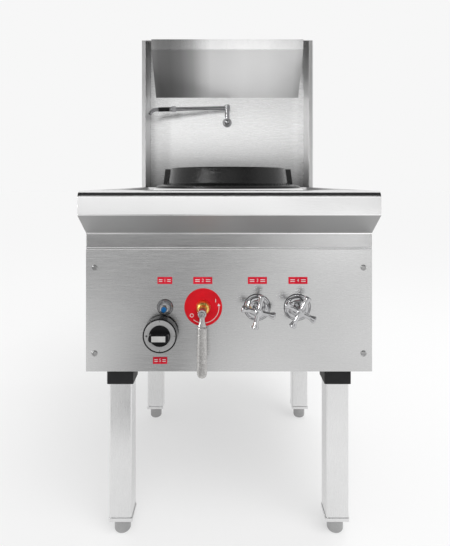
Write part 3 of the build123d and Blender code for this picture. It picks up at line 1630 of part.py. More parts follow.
with BuildPart() as faucet_spout:
    with BuildLine() as spout_line:
        reach = Line((grip_to, 0, 0), (grip_to + spout_straight, 0, 0))
        turn = TangentArc(
            reach @ 1, (grip_to + spout_bend[0], 0, spout_bend[1]), tangent=reach % 1
        )
        Line(turn @ 1, turn @ 1 + (turn % 1) * spout_tip)
    with BuildSketch(Plane.YZ.offset(grip_to)):
        Circle(spout_radius)
        Circle(arm_bore, mode=Mode.SUBTRACT)
    sweep(path=spout_line.line)
faucet_spout.part = faucet_spout.part.moved(arm_place)
save(faucet_spout, "faucet_spout")
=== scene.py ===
import json
import math

import bmesh
import bpy
from mathutils import Matrix, Vector


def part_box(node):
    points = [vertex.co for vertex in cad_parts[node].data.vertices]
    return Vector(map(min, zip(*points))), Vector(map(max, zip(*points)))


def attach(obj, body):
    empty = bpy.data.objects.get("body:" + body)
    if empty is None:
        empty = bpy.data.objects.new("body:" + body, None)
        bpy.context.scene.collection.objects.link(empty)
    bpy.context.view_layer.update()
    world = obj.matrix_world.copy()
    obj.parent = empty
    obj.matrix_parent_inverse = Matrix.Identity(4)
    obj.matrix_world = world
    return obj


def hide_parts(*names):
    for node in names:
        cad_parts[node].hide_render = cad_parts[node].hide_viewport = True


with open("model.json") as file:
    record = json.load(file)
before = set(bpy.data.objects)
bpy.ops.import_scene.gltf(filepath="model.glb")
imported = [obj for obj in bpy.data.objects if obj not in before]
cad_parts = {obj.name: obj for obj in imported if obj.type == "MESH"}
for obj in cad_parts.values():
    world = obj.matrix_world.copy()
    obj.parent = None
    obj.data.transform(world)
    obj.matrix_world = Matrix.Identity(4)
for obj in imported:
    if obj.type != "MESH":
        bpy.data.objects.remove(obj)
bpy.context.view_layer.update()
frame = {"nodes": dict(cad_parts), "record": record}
print("frame loaded:", len(frame["nodes"]), "nodes")

mm = 0.001


# materials: every one reads Object coordinates, so patterns keep their real size
finish = {}


def startMaterial(name):
    material = finish[name] = bpy.data.materials.new(name)
    material.use_nodes = True
    nodes = material.node_tree.nodes
    return nodes, material.node_tree.links, nodes["Principled BSDF"]


def objectMapping(nodes, links, scale=(1, 1, 1)):
    coords = nodes.new("ShaderNodeTexCoord")
    mapping = nodes.new("ShaderNodeMapping")
    mapping.inputs["Scale"].default_value = scale
    links.new(coords.outputs["Object"], mapping.inputs["Vector"])
    return mapping.outputs["Vector"]


def noiseValue(nodes, links, vector, scale, detail, roughness=0.55):
    noise = nodes.new("ShaderNodeTexNoise")
    noise.inputs["Scale"].default_value = scale
    noise.inputs["Detail"].default_value = detail
    noise.inputs["Roughness"].default_value = roughness
    links.new(vector, noise.inputs["Vector"])
    return noise.outputs["Fac"]


def rampValue(nodes, links, value, stops):
    # stops are (place, tone) pairs; a tone is one grey value or a colour
    ramp = nodes.new("ShaderNodeValToRGB")
    elements = ramp.color_ramp.elements
    while len(elements) < len(stops):
        elements.new(0.5)
    for element, (place, tone) in zip(elements, stops):
        element.position = place
        element.color = (*tone, 1) if isinstance(tone, tuple) else (tone, tone, tone, 1)
    links.new(value, ramp.inputs["Fac"])
    return ramp.outputs["Color"]


def mixColours(nodes, links, factor, first, second, blendType="MIX"):
    mix = nodes.new("ShaderNodeMix")
    mix.data_type = "RGBA"
    mix.blend_type = blendType
    # the node's sixth and seventh inputs and its second output are the colours
    for socket, value in ((mix.inputs["Factor"], factor), (mix.inputs[6], first), (mix.inputs[7], second)):
        if isinstance(value, bpy.types.NodeSocket):
            links.new(value, socket)
        elif isinstance(value, tuple):
            socket.default_value = (*value, 1)
        else:
            socket.default_value = value
    return mix.outputs[2]


def bumpNormal(nodes, links, shader, height, strength, distance):
    bump = nodes.new("ShaderNodeBump")
    bump.inputs["Strength"].default_value = strength
    bump.inputs["Distance"].default_value = distance
    links.new(height, bump.inputs["Height"])
    links.new(bump.outputs["Normal"], shader.inputs["Normal"])


def separateAxes(nodes, links):
    coords = nodes.new("ShaderNodeTexCoord")
    parts = nodes.new("ShaderNodeSeparateXYZ")
    links.new(coords.outputs["Object"], parts.inputs["Vector"])
    return parts.outputs


# how each kind of skin is made: noise scales per metre, shares of the colour, bump heights in metres
steelSkin = {"strokes": 9.0, "smudges": 4.5, "lineTone": 0.92, "sheenSpread": 0.07, "bump": 0.00025}
polishSkin = {"film": 60.0, "worn": 0.86, "dulling": 0.06}
castSkin = {"patches": 14.0, "patchTone": 0.82, "pitRough": 0.1, "peakRough": 0.06, "bump": 0.0006}
plasticSkin = {
    "rubbed": 35.0, "dark": 0.88, "light": 1.08, "lift": 0.003,
    "matt": 0.06, "polish": 0.05, "bump": 0.0002,
}
brickSkin = {"crumbs": 220.0, "scorch": 12.0, "burnt": 0.55, "gritTone": 0.75, "bump": 0.002, "depth": 0.6}


def brushedSteel(name, tone, rough, grain, depth=0.25, cloud=0.06, paintedShade=None):
    # grain is how fine the brushing is along each axis: small along the strokes, large across them;
    # paintedShade is an axis and (place in metres, share of the tone) stops along it, where the tone is
    # darkened as painted shade
    nodes, links, shader = startMaterial(name)
    strokes = noiseValue(nodes, links, objectMapping(nodes, links, grain), steelSkin["strokes"], 5.0, 0.65)
    smudges = noiseValue(nodes, links, objectMapping(nodes, links), steelSkin["smudges"], 2.0, 0.5)
    cloudy = ((0.35, tone * (1 - cloud)), (0.65, min(1.0, tone * (1 + cloud))))
    clouded = rampValue(nodes, links, smudges, cloudy)
    lines = rampValue(nodes, links, strokes, ((0.3, steelSkin["lineTone"]), (0.7, 1.0)))
    skin = mixColours(nodes, links, 1.0, clouded, lines, "MULTIPLY")
    # painted shade: the tone is darkened along one axis by these stops
    if paintedShade:
        axis, stops = paintedShade
        low, high = stops[0][0], stops[-1][0]
        place = nodes.new("ShaderNodeMapRange")
        place.inputs["From Min"].default_value = low
        place.inputs["From Max"].default_value = high
        links.new(separateAxes(nodes, links)[axis], place.inputs["Value"])
        shares = [((spot - low) / (high - low), share) for spot, share in stops]
        paintedShadeTone = rampValue(nodes, links, place.outputs["Result"], shares)
        skin = mixColours(nodes, links, 1.0, skin, paintedShadeTone, "MULTIPLY")
    links.new(skin, shader.inputs["Base Color"])
    spread = steelSkin["sheenSpread"]
    sheen = rampValue(nodes, links, strokes, ((0.25, max(0.02, rough - spread)), (0.75, rough + spread)))
    links.new(sheen, shader.inputs["Roughness"])
    bumpNormal(nodes, links, shader, strokes, depth, steelSkin["bump"])
    shader.inputs["Metallic"].default_value = 1.0


def polishedMetal(name, colour, rough=0.07):
    nodes, links, shader = startMaterial(name)
    film = noiseValue(nodes, links, objectMapping(nodes, links), polishSkin["film"], 3.0)
    worn = tuple(part * polishSkin["worn"] for part in colour)
    links.new(rampValue(nodes, links, film, ((0.3, worn), (0.6, colour))), shader.inputs["Base Color"])
    sheen = rampValue(nodes, links, film, ((0.3, rough + polishSkin["dulling"]), (0.7, rough)))
    links.new(sheen, shader.inputs["Roughness"])
    shader.inputs["Metallic"].default_value = 1.0


def castMetal(name, colour, rough, grainSize, depth, speckle, metallic=1.0, gloss=0.5):
    # a sand-cast skin: fine pits over a slow unevenness
    nodes, links, shader = startMaterial(name)
    vector = objectMapping(nodes, links)
    pits = noiseValue(nodes, links, vector, 1.0 / grainSize, 4.0, 0.7)
    patches = noiseValue(nodes, links, vector, castSkin["patches"], 3.0)
    low = tuple(part * (1 - speckle) for part in colour)
    high = tuple(min(1.0, part * (1 + speckle)) for part in colour)
    grainy = rampValue(nodes, links, pits, ((0.35, low), (0.65, high)))
    patchy = rampValue(nodes, links, patches, ((0.3, castSkin["patchTone"]), (0.7, 1.0)))
    links.new(mixColours(nodes, links, 1.0, grainy, patchy, "MULTIPLY"), shader.inputs["Base Color"])
    sheenStops = ((0.3, rough + castSkin["pitRough"]), (0.7, rough - castSkin["peakRough"]))
    links.new(rampValue(nodes, links, pits, sheenStops), shader.inputs["Roughness"])
    bumpNormal(nodes, links, shader, pits, depth, castSkin["bump"])
    shader.inputs["Metallic"].default_value = metallic
    shader.inputs["Specular IOR Level"].default_value = gloss


def mouldedPlastic(name, colour, rough, depth=0.12, grainSize=0.0009, gloss=0.5):
    nodes, links, shader = startMaterial(name)
    vector = objectMapping(nodes, links)
    grain = noiseValue(nodes, links, vector, 1.0 / grainSize, 2.0)
    rubbed = noiseValue(nodes, links, vector, plasticSkin["rubbed"], 2.0)
    low = tuple(part * plasticSkin["dark"] for part in colour)
    high = tuple(min(1.0, part * plasticSkin["light"] + plasticSkin["lift"]) for part in colour)
    links.new(rampValue(nodes, links, rubbed, ((0.3, low), (0.7, high))), shader.inputs["Base Color"])
    sheenStops = ((0.3, rough + plasticSkin["matt"]), (0.7, max(0.05, rough - plasticSkin["polish"])))
    links.new(rampValue(nodes, links, rubbed, sheenStops), shader.inputs["Roughness"])
    bumpNormal(nodes, links, shader, grain, depth, plasticSkin["bump"])
    shader.inputs["Specular IOR Level"].default_value = gloss


def firedBrick(name, colour):
    nodes, links, shader = startMaterial(name)
    vector = objectMapping(nodes, links)
    crumbs = noiseValue(nodes, links, vector, brickSkin["crumbs"], 5.0, 0.7)
    scorch = noiseValue(nodes, links, vector, brickSkin["scorch"], 3.0)
    low = tuple(part * brickSkin["burnt"] for part in colour)
    burnt = rampValue(nodes, links, scorch, ((0.3, low), (0.7, colour)))
    gritty = rampValue(nodes, links, crumbs, ((0.3, brickSkin["gritTone"]), (0.7, 1.0)))
    links.new(mixColours(nodes, links, 1.0, burnt, gritty, "MULTIPLY"), shader.inputs["Base Color"])
    bumpNormal(nodes, links, shader, crumbs, brickSkin["depth"], brickSkin["bump"])
    shader.inputs["Roughness"].default_value = 0.92


alongX = (3, 160, 160)
alongZ = (160, 160, 3)
# painted shade: the splash back is darker toward the deck, and the cowl darker across its left part and a
# little at its right end, standing in for dark reflections there
splashPaintedShade = (
    (0.736, 0.20), (0.79, 0.36), (0.826, 0.50), (0.864, 0.68), (0.902, 0.84), (0.94, 0.95), (0.98, 1.0),
)
cowlPaintedShade = (
    (-0.272, 0.30), (-0.245, 0.20), (-0.205, 0.19), (-0.165, 0.26), (-0.125, 0.42), (-0.09, 0.70),
    (-0.06, 0.88), (0.06, 1.0), (0.14, 0.95), (0.24, 0.78), (0.27, 0.6),
)
brushedSteel("panelSteel", 0.64, 0.24, alongX, depth=0.04, cloud=0.03)
brushedSteel("noseSteel", 0.90, 0.16, alongX, depth=0.03, cloud=0.02)
# a darker copy of the nose steel for the apron's downward faces: painted shade
brushedSteel("apronShadeSteel", 0.42, 0.50, alongX, cloud=0.03)
# darker than the panel steel, for the rail recessed under the nose: painted shade
brushedSteel("railShadeSteel", 0.50, 0.20, alongX, depth=0.04, cloud=0.03)
# pale and only partly metallic, so the rolled panel edge and the rail bead read as bright lines: painted
# highlight
castMetal("hemSteel", (0.88, 0.88, 0.88), 0.4, 0.004, 0.05, metallic=0.3, speckle=0.03)
brushedSteel("sideSteel", 0.55, 0.34, (160, 3, 160))
brushedSteel("splashSteel", 0.96, 0.28, alongX, depth=0.008, cloud=0.01, paintedShade=("Z", splashPaintedShade))
brushedSteel("wingSteel", 0.62, 0.32, alongZ)
brushedSteel("bandSteel", 0.92, 0.15, alongZ, depth=0.03, cloud=0.03, paintedShade=("X", cowlPaintedShade))
brushedSteel("cowlSteel", 0.98, 0.48, alongZ, depth=0.10, cloud=0.03, paintedShade=("X", cowlPaintedShade))
brushedSteel("deckSteel", 0.70, 0.24, alongX, depth=0.12)
brushedSteel("collarSteel", 0.84, 0.14, (30, 30, 200), depth=0.06, cloud=0.03)
brushedSteel("legSteel", 0.80, 0.30, alongZ, cloud=0.04)
castMetal("frameSteel", (0.36, 0.37, 0.38), 0.5, 0.004, 0.15, speckle=0.15)
castMetal("pipeSteel", (0.45, 0.44, 0.41), 0.42, 0.003, 0.15, speckle=0.12)
polishedMetal("copper", (0.70, 0.36, 0.22), 0.26)
polishedMetal("chrome", (0.54, 0.54, 0.55))
polishedMetal("faucetSteel", (0.34, 0.34, 0.35), 0.16)
polishedMetal("brass", (0.98, 0.70, 0.20), 0.30)
polishedMetal("screwPlate", (0.42, 0.42, 0.42), 0.2)
castMetal("knobRing", (0.50, 0.50, 0.50), 0.4, 0.003, 0.05, metallic=0.5, speckle=0.05)
castMetal("castIron", (0.008, 0.008, 0.008), 0.22, 0.0022, 0.8, metallic=0.0, speckle=0.5, gloss=0.34)
castMetal("castAluminium", (0.52, 0.51, 0.50), 0.28, 0.0030, 0.5, speckle=0.22)
castMetal("footMetal", (0.42, 0.42, 0.42), 0.16, 0.0014, 0.1, speckle=0.08)
firedBrick("firebrick", (0.48, 0.36, 0.27))
mouldedPlastic("blackPlastic", (0.006, 0.006, 0.007), 0.22, gloss=0.22)
mouldedPlastic("socketPlastic", (0.008, 0.008, 0.009), 0.50, 0.2, gloss=0.3)
mouldedPlastic("redEnamel", (0.78, 0.003, 0.014), 0.34, 0.05, 0.004, gloss=0.18)
mouldedPlastic("redLabel", (0.84, 0.005, 0.034), 0.42, 0.05, gloss=0.14)
mouldedPlastic("whiteMark", (0.85, 0.83, 0.83), 0.45, 0.05)
mouldedPlastic("markerStrip", (0.60, 0.60, 0.59), 0.4, 0.05)
mouldedPlastic("blackMark", (0.02, 0.02, 0.02), 0.5, 0.05)
mouldedPlastic("blueButton", (0.001, 0.115, 0.34), 0.3, 0.05, gloss=0.15)
mouldedPlastic("ceramic", (0.80, 0.77, 0.70), 0.3, 0.05)
print("materials made:", len(finish))

# the CAD nodes that stay as they are, each with its finish
nodeFinish = {
    "sideSteel": ["carcass_panels", "column_casing", "flue_riser", "flue_box"],
    "wingSteel": ["column_top_strips"],
    # the upper rail takes the darker steel: painted shade
    "railShadeSteel": ["upper_rail"],
    "cowlSteel": ["flue_guard"],
    "frameSteel": ["base_frame", "chamber_bearers", "chamber_shell", "mixing_tube"],
    "pipeSteel": ["gas_manifold"],
    "copper": ["water_manifold", "faucet_pipe"],
    "deckSteel": ["deck_gutter", "strainer_basket"],
    "chrome": ["tap_valves", "deck_spray_bar"],
    "brass": ["gas_injector", "pilot_valve", "burner_jets", "pilot_burner"],
    "screwPlate": ["pilot_spindle"],
    "castIron": ["burner_body"],
    "firebrick": ["refractory_lining"],
    "ceramic": ["spark_electrode"],
}
for finishName, nodeNames in nodeFinish.items():
    for nodeName in nodeNames:
        node = frame["nodes"][nodeName]
        node.data.materials.clear()
        node.data.materials.append(finish[finishName])

nodeBody = {name: body for body, names in frame["record"]["behaviour"]["bodies"].items() for name in names}


# making and placing pieces
cornerSteps = 6
weldGap = 1e-6
roundingAngle = math.radians(40)
flatAngle = math.radians(0.4)


def meshFrom(bm, name):
    mesh = bpy.data.meshes.new(name)
    bm.to_mesh(mesh)
    bm.free()
    return mesh


def finishPiece(name, mesh, finishName, node, replaced=(), bevel=None, smooth=35):
    # welds the mesh, turns its faces outward and places it; bevel is in mm, smooth in degrees
    bm = bmesh.new()
    bm.from_mesh(mesh)
    bmesh.ops.remove_doubles(bm, verts=bm.verts, dist=weldGap)
    bmesh.ops.recalc_face_normals(bm, faces=bm.faces)
    bm.to_mesh(mesh)
    bm.free()
    return placePiece(name, mesh, finishName, node, replaced, bevel, smooth)


def placePiece(name, mesh, finishName, node, replaced, bevel=None, smooth=35):
    piece = bpy.data.objects.new(name, mesh)
    bpy.context.scene.collection.objects.link(piece)
    for materialName in (finishName if isinstance(finishName, tuple) else [finishName]):
        mesh.materials.append(finish[materialName])
    mesh.shade_smooth()
    mesh.set_sharp_from_angle(angle=math.radians(smooth))
    if bevel:
        rounding = piece.modifiers.new("rounding", "BEVEL")
        rounding.width = bevel * mm
        rounding.segments = 3
        rounding.limit_method = "ANGLE"
        rounding.angle_limit = roundingAngle
        rounding.harden_normals = True
    flatness = piece.modifiers.new("flatness", "WEIGHTED_NORMAL")
    flatness.keep_sharp = True
    flatness.weight = 100
    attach(piece, nodeBody[node])
    if replaced:
        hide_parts(*replaced)
    return piece


def dressNode(node, finishName, bevel):
    # a merged copy of the node with its edges eased by bevel mm, which stands for it
    mesh = frame["nodes"][node].data.copy()
    mesh.materials.clear()
    bm = bmesh.new()
    bm.from_mesh(mesh)
    bmesh.ops.remove_doubles(bm, verts=bm.verts, dist=weldGap)
    bmesh.ops.dissolve_limit(bm, angle_limit=flatAngle, verts=bm.verts, edges=bm.edges)
    bm.to_mesh(mesh)
    bm.free()
    piece = placePiece(node + "Skin", mesh, finishName, node, (node,), bevel)
    piece.modifiers["rounding"].segments = 2
    return piece


def turnedMesh(name, profile, axis, centre, steps=64, closed=True):
    # profile is (distance along the axis, radius) pairs in mm, turned about the axis through centre
    bm = bmesh.new()
    along = Vector(axis).normalized()
    side = along.orthogonal().normalized()
    origin = Vector(centre)
    corners = [
        bm.verts.new(origin + along * (place * mm) + side * (radius * mm)) for place, radius in profile
    ]
    chain = [bm.edges.new(pair) for pair in zip(corners, corners[1:])]
    if closed:
        chain.append(bm.edges.new((corners[-1], corners[0])))
    bmesh.ops.spin(
        bm, geom=corners + chain, cent=origin, axis=along, angle=math.tau, steps=steps, use_merge=True
    )
    bmesh.ops.remove_doubles(bm, verts=bm.verts, dist=weldGap)
    bmesh.ops.recalc_face_normals(bm, faces=bm.faces)
    return meshFrom(bm, name)


def shifted(profile, start):
    return [(start + place, radius) for place, radius in profile]


def roundedCorner(corner, before, after, radius):
    # points of the arc that rounds one corner of a flat outline
    corner, before, after = Vector(corner), Vector(before), Vector(after)
    toBefore = (before - corner).normalized()
    toAfter = (after - corner).normalized()
    half = toBefore.angle(toAfter) / 2
    middle = corner + (toBefore + toAfter).normalized() * (radius / math.sin(half))
    start = corner + toBefore * (radius / math.tan(half)) - middle
    end = corner + toAfter * (radius / math.tan(half)) - middle
    sweep = start.angle(end)
    points = []
    for i in range(cornerSteps + 1):
        share = i / cornerSteps
        turned = start * math.sin((1 - share) * sweep) + end * math.sin(share * sweep)
        points.append(middle + turned / math.sin(sweep))
    return points


def outlinePoints(corners):
    # corners are (first, second, radius) in mm; a radius of 0 keeps the corner sharp
    points = []
    for i, (first, second, radius) in enumerate(corners):
        before = corners[i - 1][:2]
        after = corners[(i + 1) % len(corners)][:2]
        if radius:
            points += roundedCorner((first, second), before, after, radius)
        else:
            points.append(Vector((first, second)))
    return points


def extrudedMesh(name, corners, plane, start, length):
    # the outline lies in "YZ" or "XZ" and is extruded along the third axis from start, in mm
    bm = bmesh.new()
    points = outlinePoints(corners)
    if plane == "YZ":
        spots = [Vector((start, y, z)) * mm for y, z in points]
        way = Vector((1, 0, 0)) * (length * mm)
    else:
        spots = [Vector((x, start, z)) * mm for x, z in points]
        way = Vector((0, 1, 0)) * (length * mm)
    face = bm.faces.new([bm.verts.new(spot) for spot in spots])
    extrudeFaces(bm, [face], way)
    bmesh.ops.recalc_face_normals(bm, faces=bm.faces)
    return meshFrom(bm, name)


def extrudeFaces(bm, faces, way):
    grown = bmesh.ops.extrude_face_region(bm, geom=faces, use_keep_orig=True)
    moved = [part for part in grown["geom"] if isinstance(part, bmesh.types.BMVert)]
    bmesh.ops.translate(bm, vec=way, verts=moved)


# places shared by the pieces, in mm, all read from the frame
def mmBox(node):
    low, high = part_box(node)
    return Vector(low) / mm, Vector(high) / mm


def middleOf(node):
    low, high = mmBox(node)
    return (low + high) / 2


panelLow, panelHigh = mmBox("control_panel")
noseLow, noseHigh = mmBox("front_nose")
panelY = panelLow.y
halfWidth = panelHigh.x
toViewer = (0, -1, 0)


def onPanel(middle):
    # the point on the panel's face in front of or behind middle, in metres
    return Vector((middle.x, panelY, middle.z)) * mm


def shadeFaces(mesh, number, wanted):
    # the faces whose normal is wanted get the piece's material of that number
    for face in mesh.polygons:
        if wanted(face.normal):
            face.material_index = number


# front nose: one folded sheet with a bullnose rim, closed ends and a hem along its foot
nose = {
    "bullnose": 15, "faceHeight": 48, "bend": 3, "hemProud": 2.4, "hemHeight": 2.6, "hemRound": 0.9,
    "edge": 0.7, "shadeSteepest": -0.9, "shadeFlattest": -0.75,
}


def makeNose():
    rear = noseHigh.y
    hemY = rear - nose["hemProud"]
    section = [
        (rear, noseHigh.z, 0),
        (noseLow.y, noseHigh.z, nose["bullnose"]),
        (noseLow.y, noseHigh.z - nose["faceHeight"], nose["bend"]),
        (hemY, noseLow.z + nose["hemHeight"], 0),
        (hemY, noseLow.z, nose["hemRound"]),
        (rear, noseLow.z, 0),
    ]
    mesh = extrudedMesh("noseShell", section, "YZ", -halfWidth, 2 * halfWidth)
    # the apron's downward faces take the darker copy of the nose steel: painted shade
    shadeFaces(mesh, 1, lambda normal: nose["shadeSteepest"] < normal.z < nose["shadeFlattest"])
    skins = ("noseSteel", "apronShadeSteel")
    finishPiece("noseShell", mesh, skins, "front_nose", ("front_nose",), nose["edge"], smooth=30)


makeNose()
print("nose made")

# control panel: a flat sheet whose top edge is rolled back, and the bead on the rail above it
panel = {
    "thickness": 1.5, "footRound": 0.6, "roll": 1.6, "back": 1.7, "edge": 0.3,
    "beadProud": 1.3, "beadLow": 1.7, "beadHigh": 3.6, "beadRound": 0.7, "highlightUp": 0.2, "highlightFront": -0.1,
}


def makePanel():
    back = panelY + panel["back"]
    lip = panelLow.z + panel["thickness"]
    section = [
        (panelY, panelLow.z, panel["footRound"]),
        (panelY, panelHigh.z, panel["roll"]),
        (back, panelHigh.z, 0),
        (back, lip, 0),
        (panelHigh.y, lip, 0),
        (panelHigh.y, panelLow.z, 0),
    ]
    mesh = extrudedMesh("panelSheet", section, "YZ", -halfWidth, 2 * halfWidth)
    # the rolled top edge takes the pale steel: painted highlight
    shadeFaces(mesh, 1, lambda normal: normal.z > panel["highlightUp"] and normal.y < panel["highlightFront"])
    skins = ("panelSteel", "hemSteel")
    finishPiece("panelSheet", mesh, skins, "control_panel", ("control_panel",), panel["edge"])
    railY = mmBox("upper_rail")[0].y
    beadY = railY - panel["beadProud"]
    low, high = panelHigh.z + panel["beadLow"], panelHigh.z + panel["beadHigh"]
    bend = panel["beadRound"]
    bead = [(railY, low, 0), (beadY, low, bend), (beadY, high, bend), (railY, high, 0)]
    mesh = extrudedMesh("railBead", bead, "YZ", -halfWidth, 2 * halfWidth)
    # the rail bead takes the pale steel too: painted highlight
    finishPiece("railBead", mesh, "hemSteel", "upper_rail")


makePanel()
dressNode("panel_screws", "screwPlate", 0.35)
dressNode("deck_pan", "deckSteel", 1.2)
dressNode("legs", "legSteel", 0.3)
dressNode("leg_sockets", "socketPlastic", 1.0)
dressNode("leg_plugs", "legSteel", 0.8)
print("panel, deck and legs made")

# label plates: red plates with a plain number between pairs of rules; the rules run over a share of
# the plate's half width
labels = {
    "numberHeight": 9.5, "markDepth": 0.25, "plateEdge": 0.25, "ruleStart": 0.32, "ruleEnd": 0.80,
    "ruleHeight": 1.5, "ruleGap": 3.6, "rowHeight": 60,
}


def numberMesh(text, height, depth):
    # a flat number in the XZ plane, facing the viewer, centred on the origin
    curve = bpy.data.curves.new("number" + text, "FONT")
    curve.body = text
    curve.size = height * mm
    curve.extrude = depth * mm / 2
    curve.align_x = "CENTER"
    curve.align_y = "CENTER"
    carrier = bpy.data.objects.new("numberCarrier", curve)
    bpy.context.scene.collection.objects.link(carrier)
    depsgraph = bpy.context.evaluated_depsgraph_get()
    mesh = bpy.data.meshes.new_from_object(carrier.evaluated_get(depsgraph))
    bpy.data.objects.remove(carrier)
    bpy.data.curves.remove(curve)
    mesh.transform(Matrix.Rotation(math.radians(90), 4, "X"))
    return mesh


def solidsOf(node):
    # the separate solids of a grouped node, as (low, high) corners in mm, top row first, left to right
    bm = bmesh.new()
    bm.from_mesh(frame["nodes"][node].data)
    bmesh.ops.remove_doubles(bm, verts=bm.verts, dist=weldGap)
    waiting = set(bm.verts)
    found = []
    while waiting:
        group = [waiting.pop()]
        for vertex in group:
            for edge in vertex.link_edges:
                other = edge.other_vert(vertex)
                if other in waiting:
                    waiting.remove(other)
                    group.append(other)
        low = Vector(min(v.co[i] for v in group) for i in range(3)) / mm
        high = Vector(max(v.co[i] for v in group) for i in range(3)) / mm
        found.append((low, high))
    bm.free()
    return sorted(found, key=lambda pair: (-round(pair[0].z / labels["rowHeight"]), pair[0].x))


def addBlock(bm, low, high):
    made = bmesh.ops.create_cube(bm, size=1)
    bmesh.ops.scale(bm, vec=(Vector(high) - Vector(low)) * mm, verts=made["verts"])
    bmesh.ops.translate(bm, vec=(Vector(low) + Vector(high)) / 2 * mm, verts=made["verts"])
    return made["verts"]


def easeEdges(bm, edges, width):
    bmesh.ops.bevel(
        bm, geom=list(edges), offset=width * mm, segments=2, affect="EDGES", profile=0.5, material=-1
    )


def makeLabels():
    plates = solidsOf("label_plates")
    bm = bmesh.new()
    for low, high in plates:
        corners = addBlock(bm, low, high)
        easeEdges(bm, {edge for corner in corners for edge in corner.link_edges}, labels["plateEdge"])
    plateMesh = meshFrom(bm, "labelPlates")
    finishPiece("labelPlates", plateMesh, "redLabel", "label_plates", ("label_plates",))
    halfDepth, halfRule = labels["markDepth"] / 2, labels["ruleHeight"] / 2
    for number, (low, high) in enumerate(plates, 1):
        middle = (low + high) / 2
        half = (high.x - low.x) / 2
        bm = bmesh.new()
        bm.from_mesh(numberMesh(str(number), labels["numberHeight"], labels["markDepth"]))
        bmesh.ops.translate(bm, vec=Vector((middle.x, low.y, middle.z)) * mm, verts=bm.verts)
        for side in (-1, 1):
            ends = sorted(middle.x + side * half * labels[end] for end in ("ruleStart", "ruleEnd"))
            for level in (-1, 1):
                z = middle.z + level * labels["ruleGap"] / 2
                addBlock(
                    bm,
                    (ends[0], low.y - halfDepth, z - halfRule),
                    (ends[1], low.y + halfDepth, z + halfRule),
                )
        name = "labelMark%d" % number
        finishPiece(name, meshFrom(bm, name), "whiteMark", "label_plates")


makeLabels()
print("labels made")

# igniter: a dished bezel, a thin nut, the barrel and a blue push button; profiles are (mm along the
# axis, radius) pairs, and those of barrel and button count from their front ends
igniter = {
    "bezel": ((0, 8), (0, 16), (1.2, 16), (3, 14.6), (3, 12.8), (1.9, 11.6), (1.9, 8)),
    "barrel": (
        (-3.2, 8), (-3.2, 7.5), (-2.4, 7.5), (-2.4, 8), (-0.7, 8), (0, 7.2), (0, 5.9), (-9, 5.9), (-9, 0),
    ),
    "button": ((-3.0, 5.72), (-0.9, 5.22), (-0.2, 4.02), (0, 2.32), (0, 0)),
    "bezelRadius": 16, "nutRadius": 11.6, "nutBack": 1.5, "nutFront": 8.5, "nutEdge": 0.5,
    "barrelRadius": 8, "buttonRadius": 5.72, "capDepth": 3.0,
}
# dark ring: (height off the panel, mm past the fitting's radius)
darkRing = {"profile": ((0, -2), (0, 1), (0.6, 1), (0.9, 0.6), (0.9, -2))}


def hexMesh(name, centre):
    # a thin six-sided nut that faces the viewer, in front of the centre
    radius, start, end = igniter["nutRadius"] * mm, igniter["nutBack"] * mm, igniter["nutFront"] * mm
    bm = bmesh.new()
    made = bmesh.ops.create_cone(
        bm, cap_ends=True, segments=6, radius1=radius, radius2=radius, depth=end - start
    )
    turn = Vector((0, 0, 1)).rotation_difference(Vector(toViewer)).to_matrix()
    bmesh.ops.rotate(bm, cent=(0, 0, 0), matrix=turn, verts=made["verts"])
    middle = centre + Vector(toViewer) * ((start + end) / 2)
    bmesh.ops.translate(bm, vec=middle, verts=made["verts"])
    easeEdges(bm, bm.edges, igniter["nutEdge"])
    return meshFrom(bm, name)


def makeGasket(name, centre, radius, node):
    # a thin black ring that shows around the foot of a round fitting
    ring = [(height, radius + past) for height, past in darkRing["profile"]]
    finishPiece(name, turnedMesh(name, ring, toViewer, centre), "blackPlastic", node)


def makeIgniter():
    low, high = mmBox("igniter_body")
    centre = onPanel((low + high) / 2)
    bezel = turnedMesh("igniterBezel", igniter["bezel"], toViewer, centre)
    finishPiece("igniterBezel", bezel, "faucetSteel", "igniter_body")
    makeGasket("igniterDarkRing", centre, igniter["bezelRadius"], "igniter_body")
    finishPiece("igniterNut", hexMesh("igniterNut", centre), "chrome", "igniter_body")
    back = panelY - high.y
    barrel = [(back, 0), (back, igniter["barrelRadius"])] + shifted(igniter["barrel"], panelY - low.y)
    mesh = turnedMesh("igniterBarrel", barrel, toViewer, centre, closed=False)
    finishPiece("igniterBarrel", mesh, "chrome", "igniter_body", ("igniter_body",))
    low, high = mmBox("igniter_button")
    back = panelY - high.y
    button = [(back, 0), (back, igniter["buttonRadius"])] + shifted(igniter["button"], panelY - low.y)
    mesh = turnedMesh("igniterButton", button, toViewer, centre, closed=False)
    capY = (low.y + igniter["capDepth"]) * mm
    for face in mesh.polygons:
        if max(mesh.vertices[corner].co.y for corner in face.vertices) > capY + 1e-5:
            face.material_index = 1
    colours = ("blueButton", "blackPlastic")
    finishPiece("igniterButton", mesh, colours, "igniter_button", ("igniter_button",), smooth=50)


makeIgniter()
print("igniter made")

# pilot knob: black skirt, silver dial ring with ticks, raised centre and a bar with a bare marker;
# back and bore count from the knob's back, front and ring from the face of its dial
knob = {
    "back": ((0, 4.2), (0, 33.8), (1.2, 35.1), (3.0, 35.3)),
    "front": (
        (-2.0, 35.2), (0.6, 34.9), (1.2, 34.2), (1.2, 32.8), (-0.1, 32.4), (-0.1, 21.6), (1.3, 21.5),
        (1.8, 20.9), (1.8, 0),
    ),
    "bore": ((8.0, 0), (8.0, 4.2)),
    "ring": ((-0.3, 21.8), (-0.3, 32.2), (0.7, 32.2), (1.0, 31.8), (1.0, 22.1), (0.7, 21.8)),
    "face": 28, "ringOuter": 32.2, "ringInner": 21.8, "ringProud": 1.0,
    "barWidth": 15, "barLength": 41, "barCorner": 0.72, "barSunk": 0.5, "barEdge": 1.3,
}
knobMarks = {
    "tickLength": 3.2, "tickWidth": 0.9, "inset": 0.6, "dotRadius": 1.9,
    "lift": 0.15, "sunk": 0.1, "dotSunk": 0.02,
}


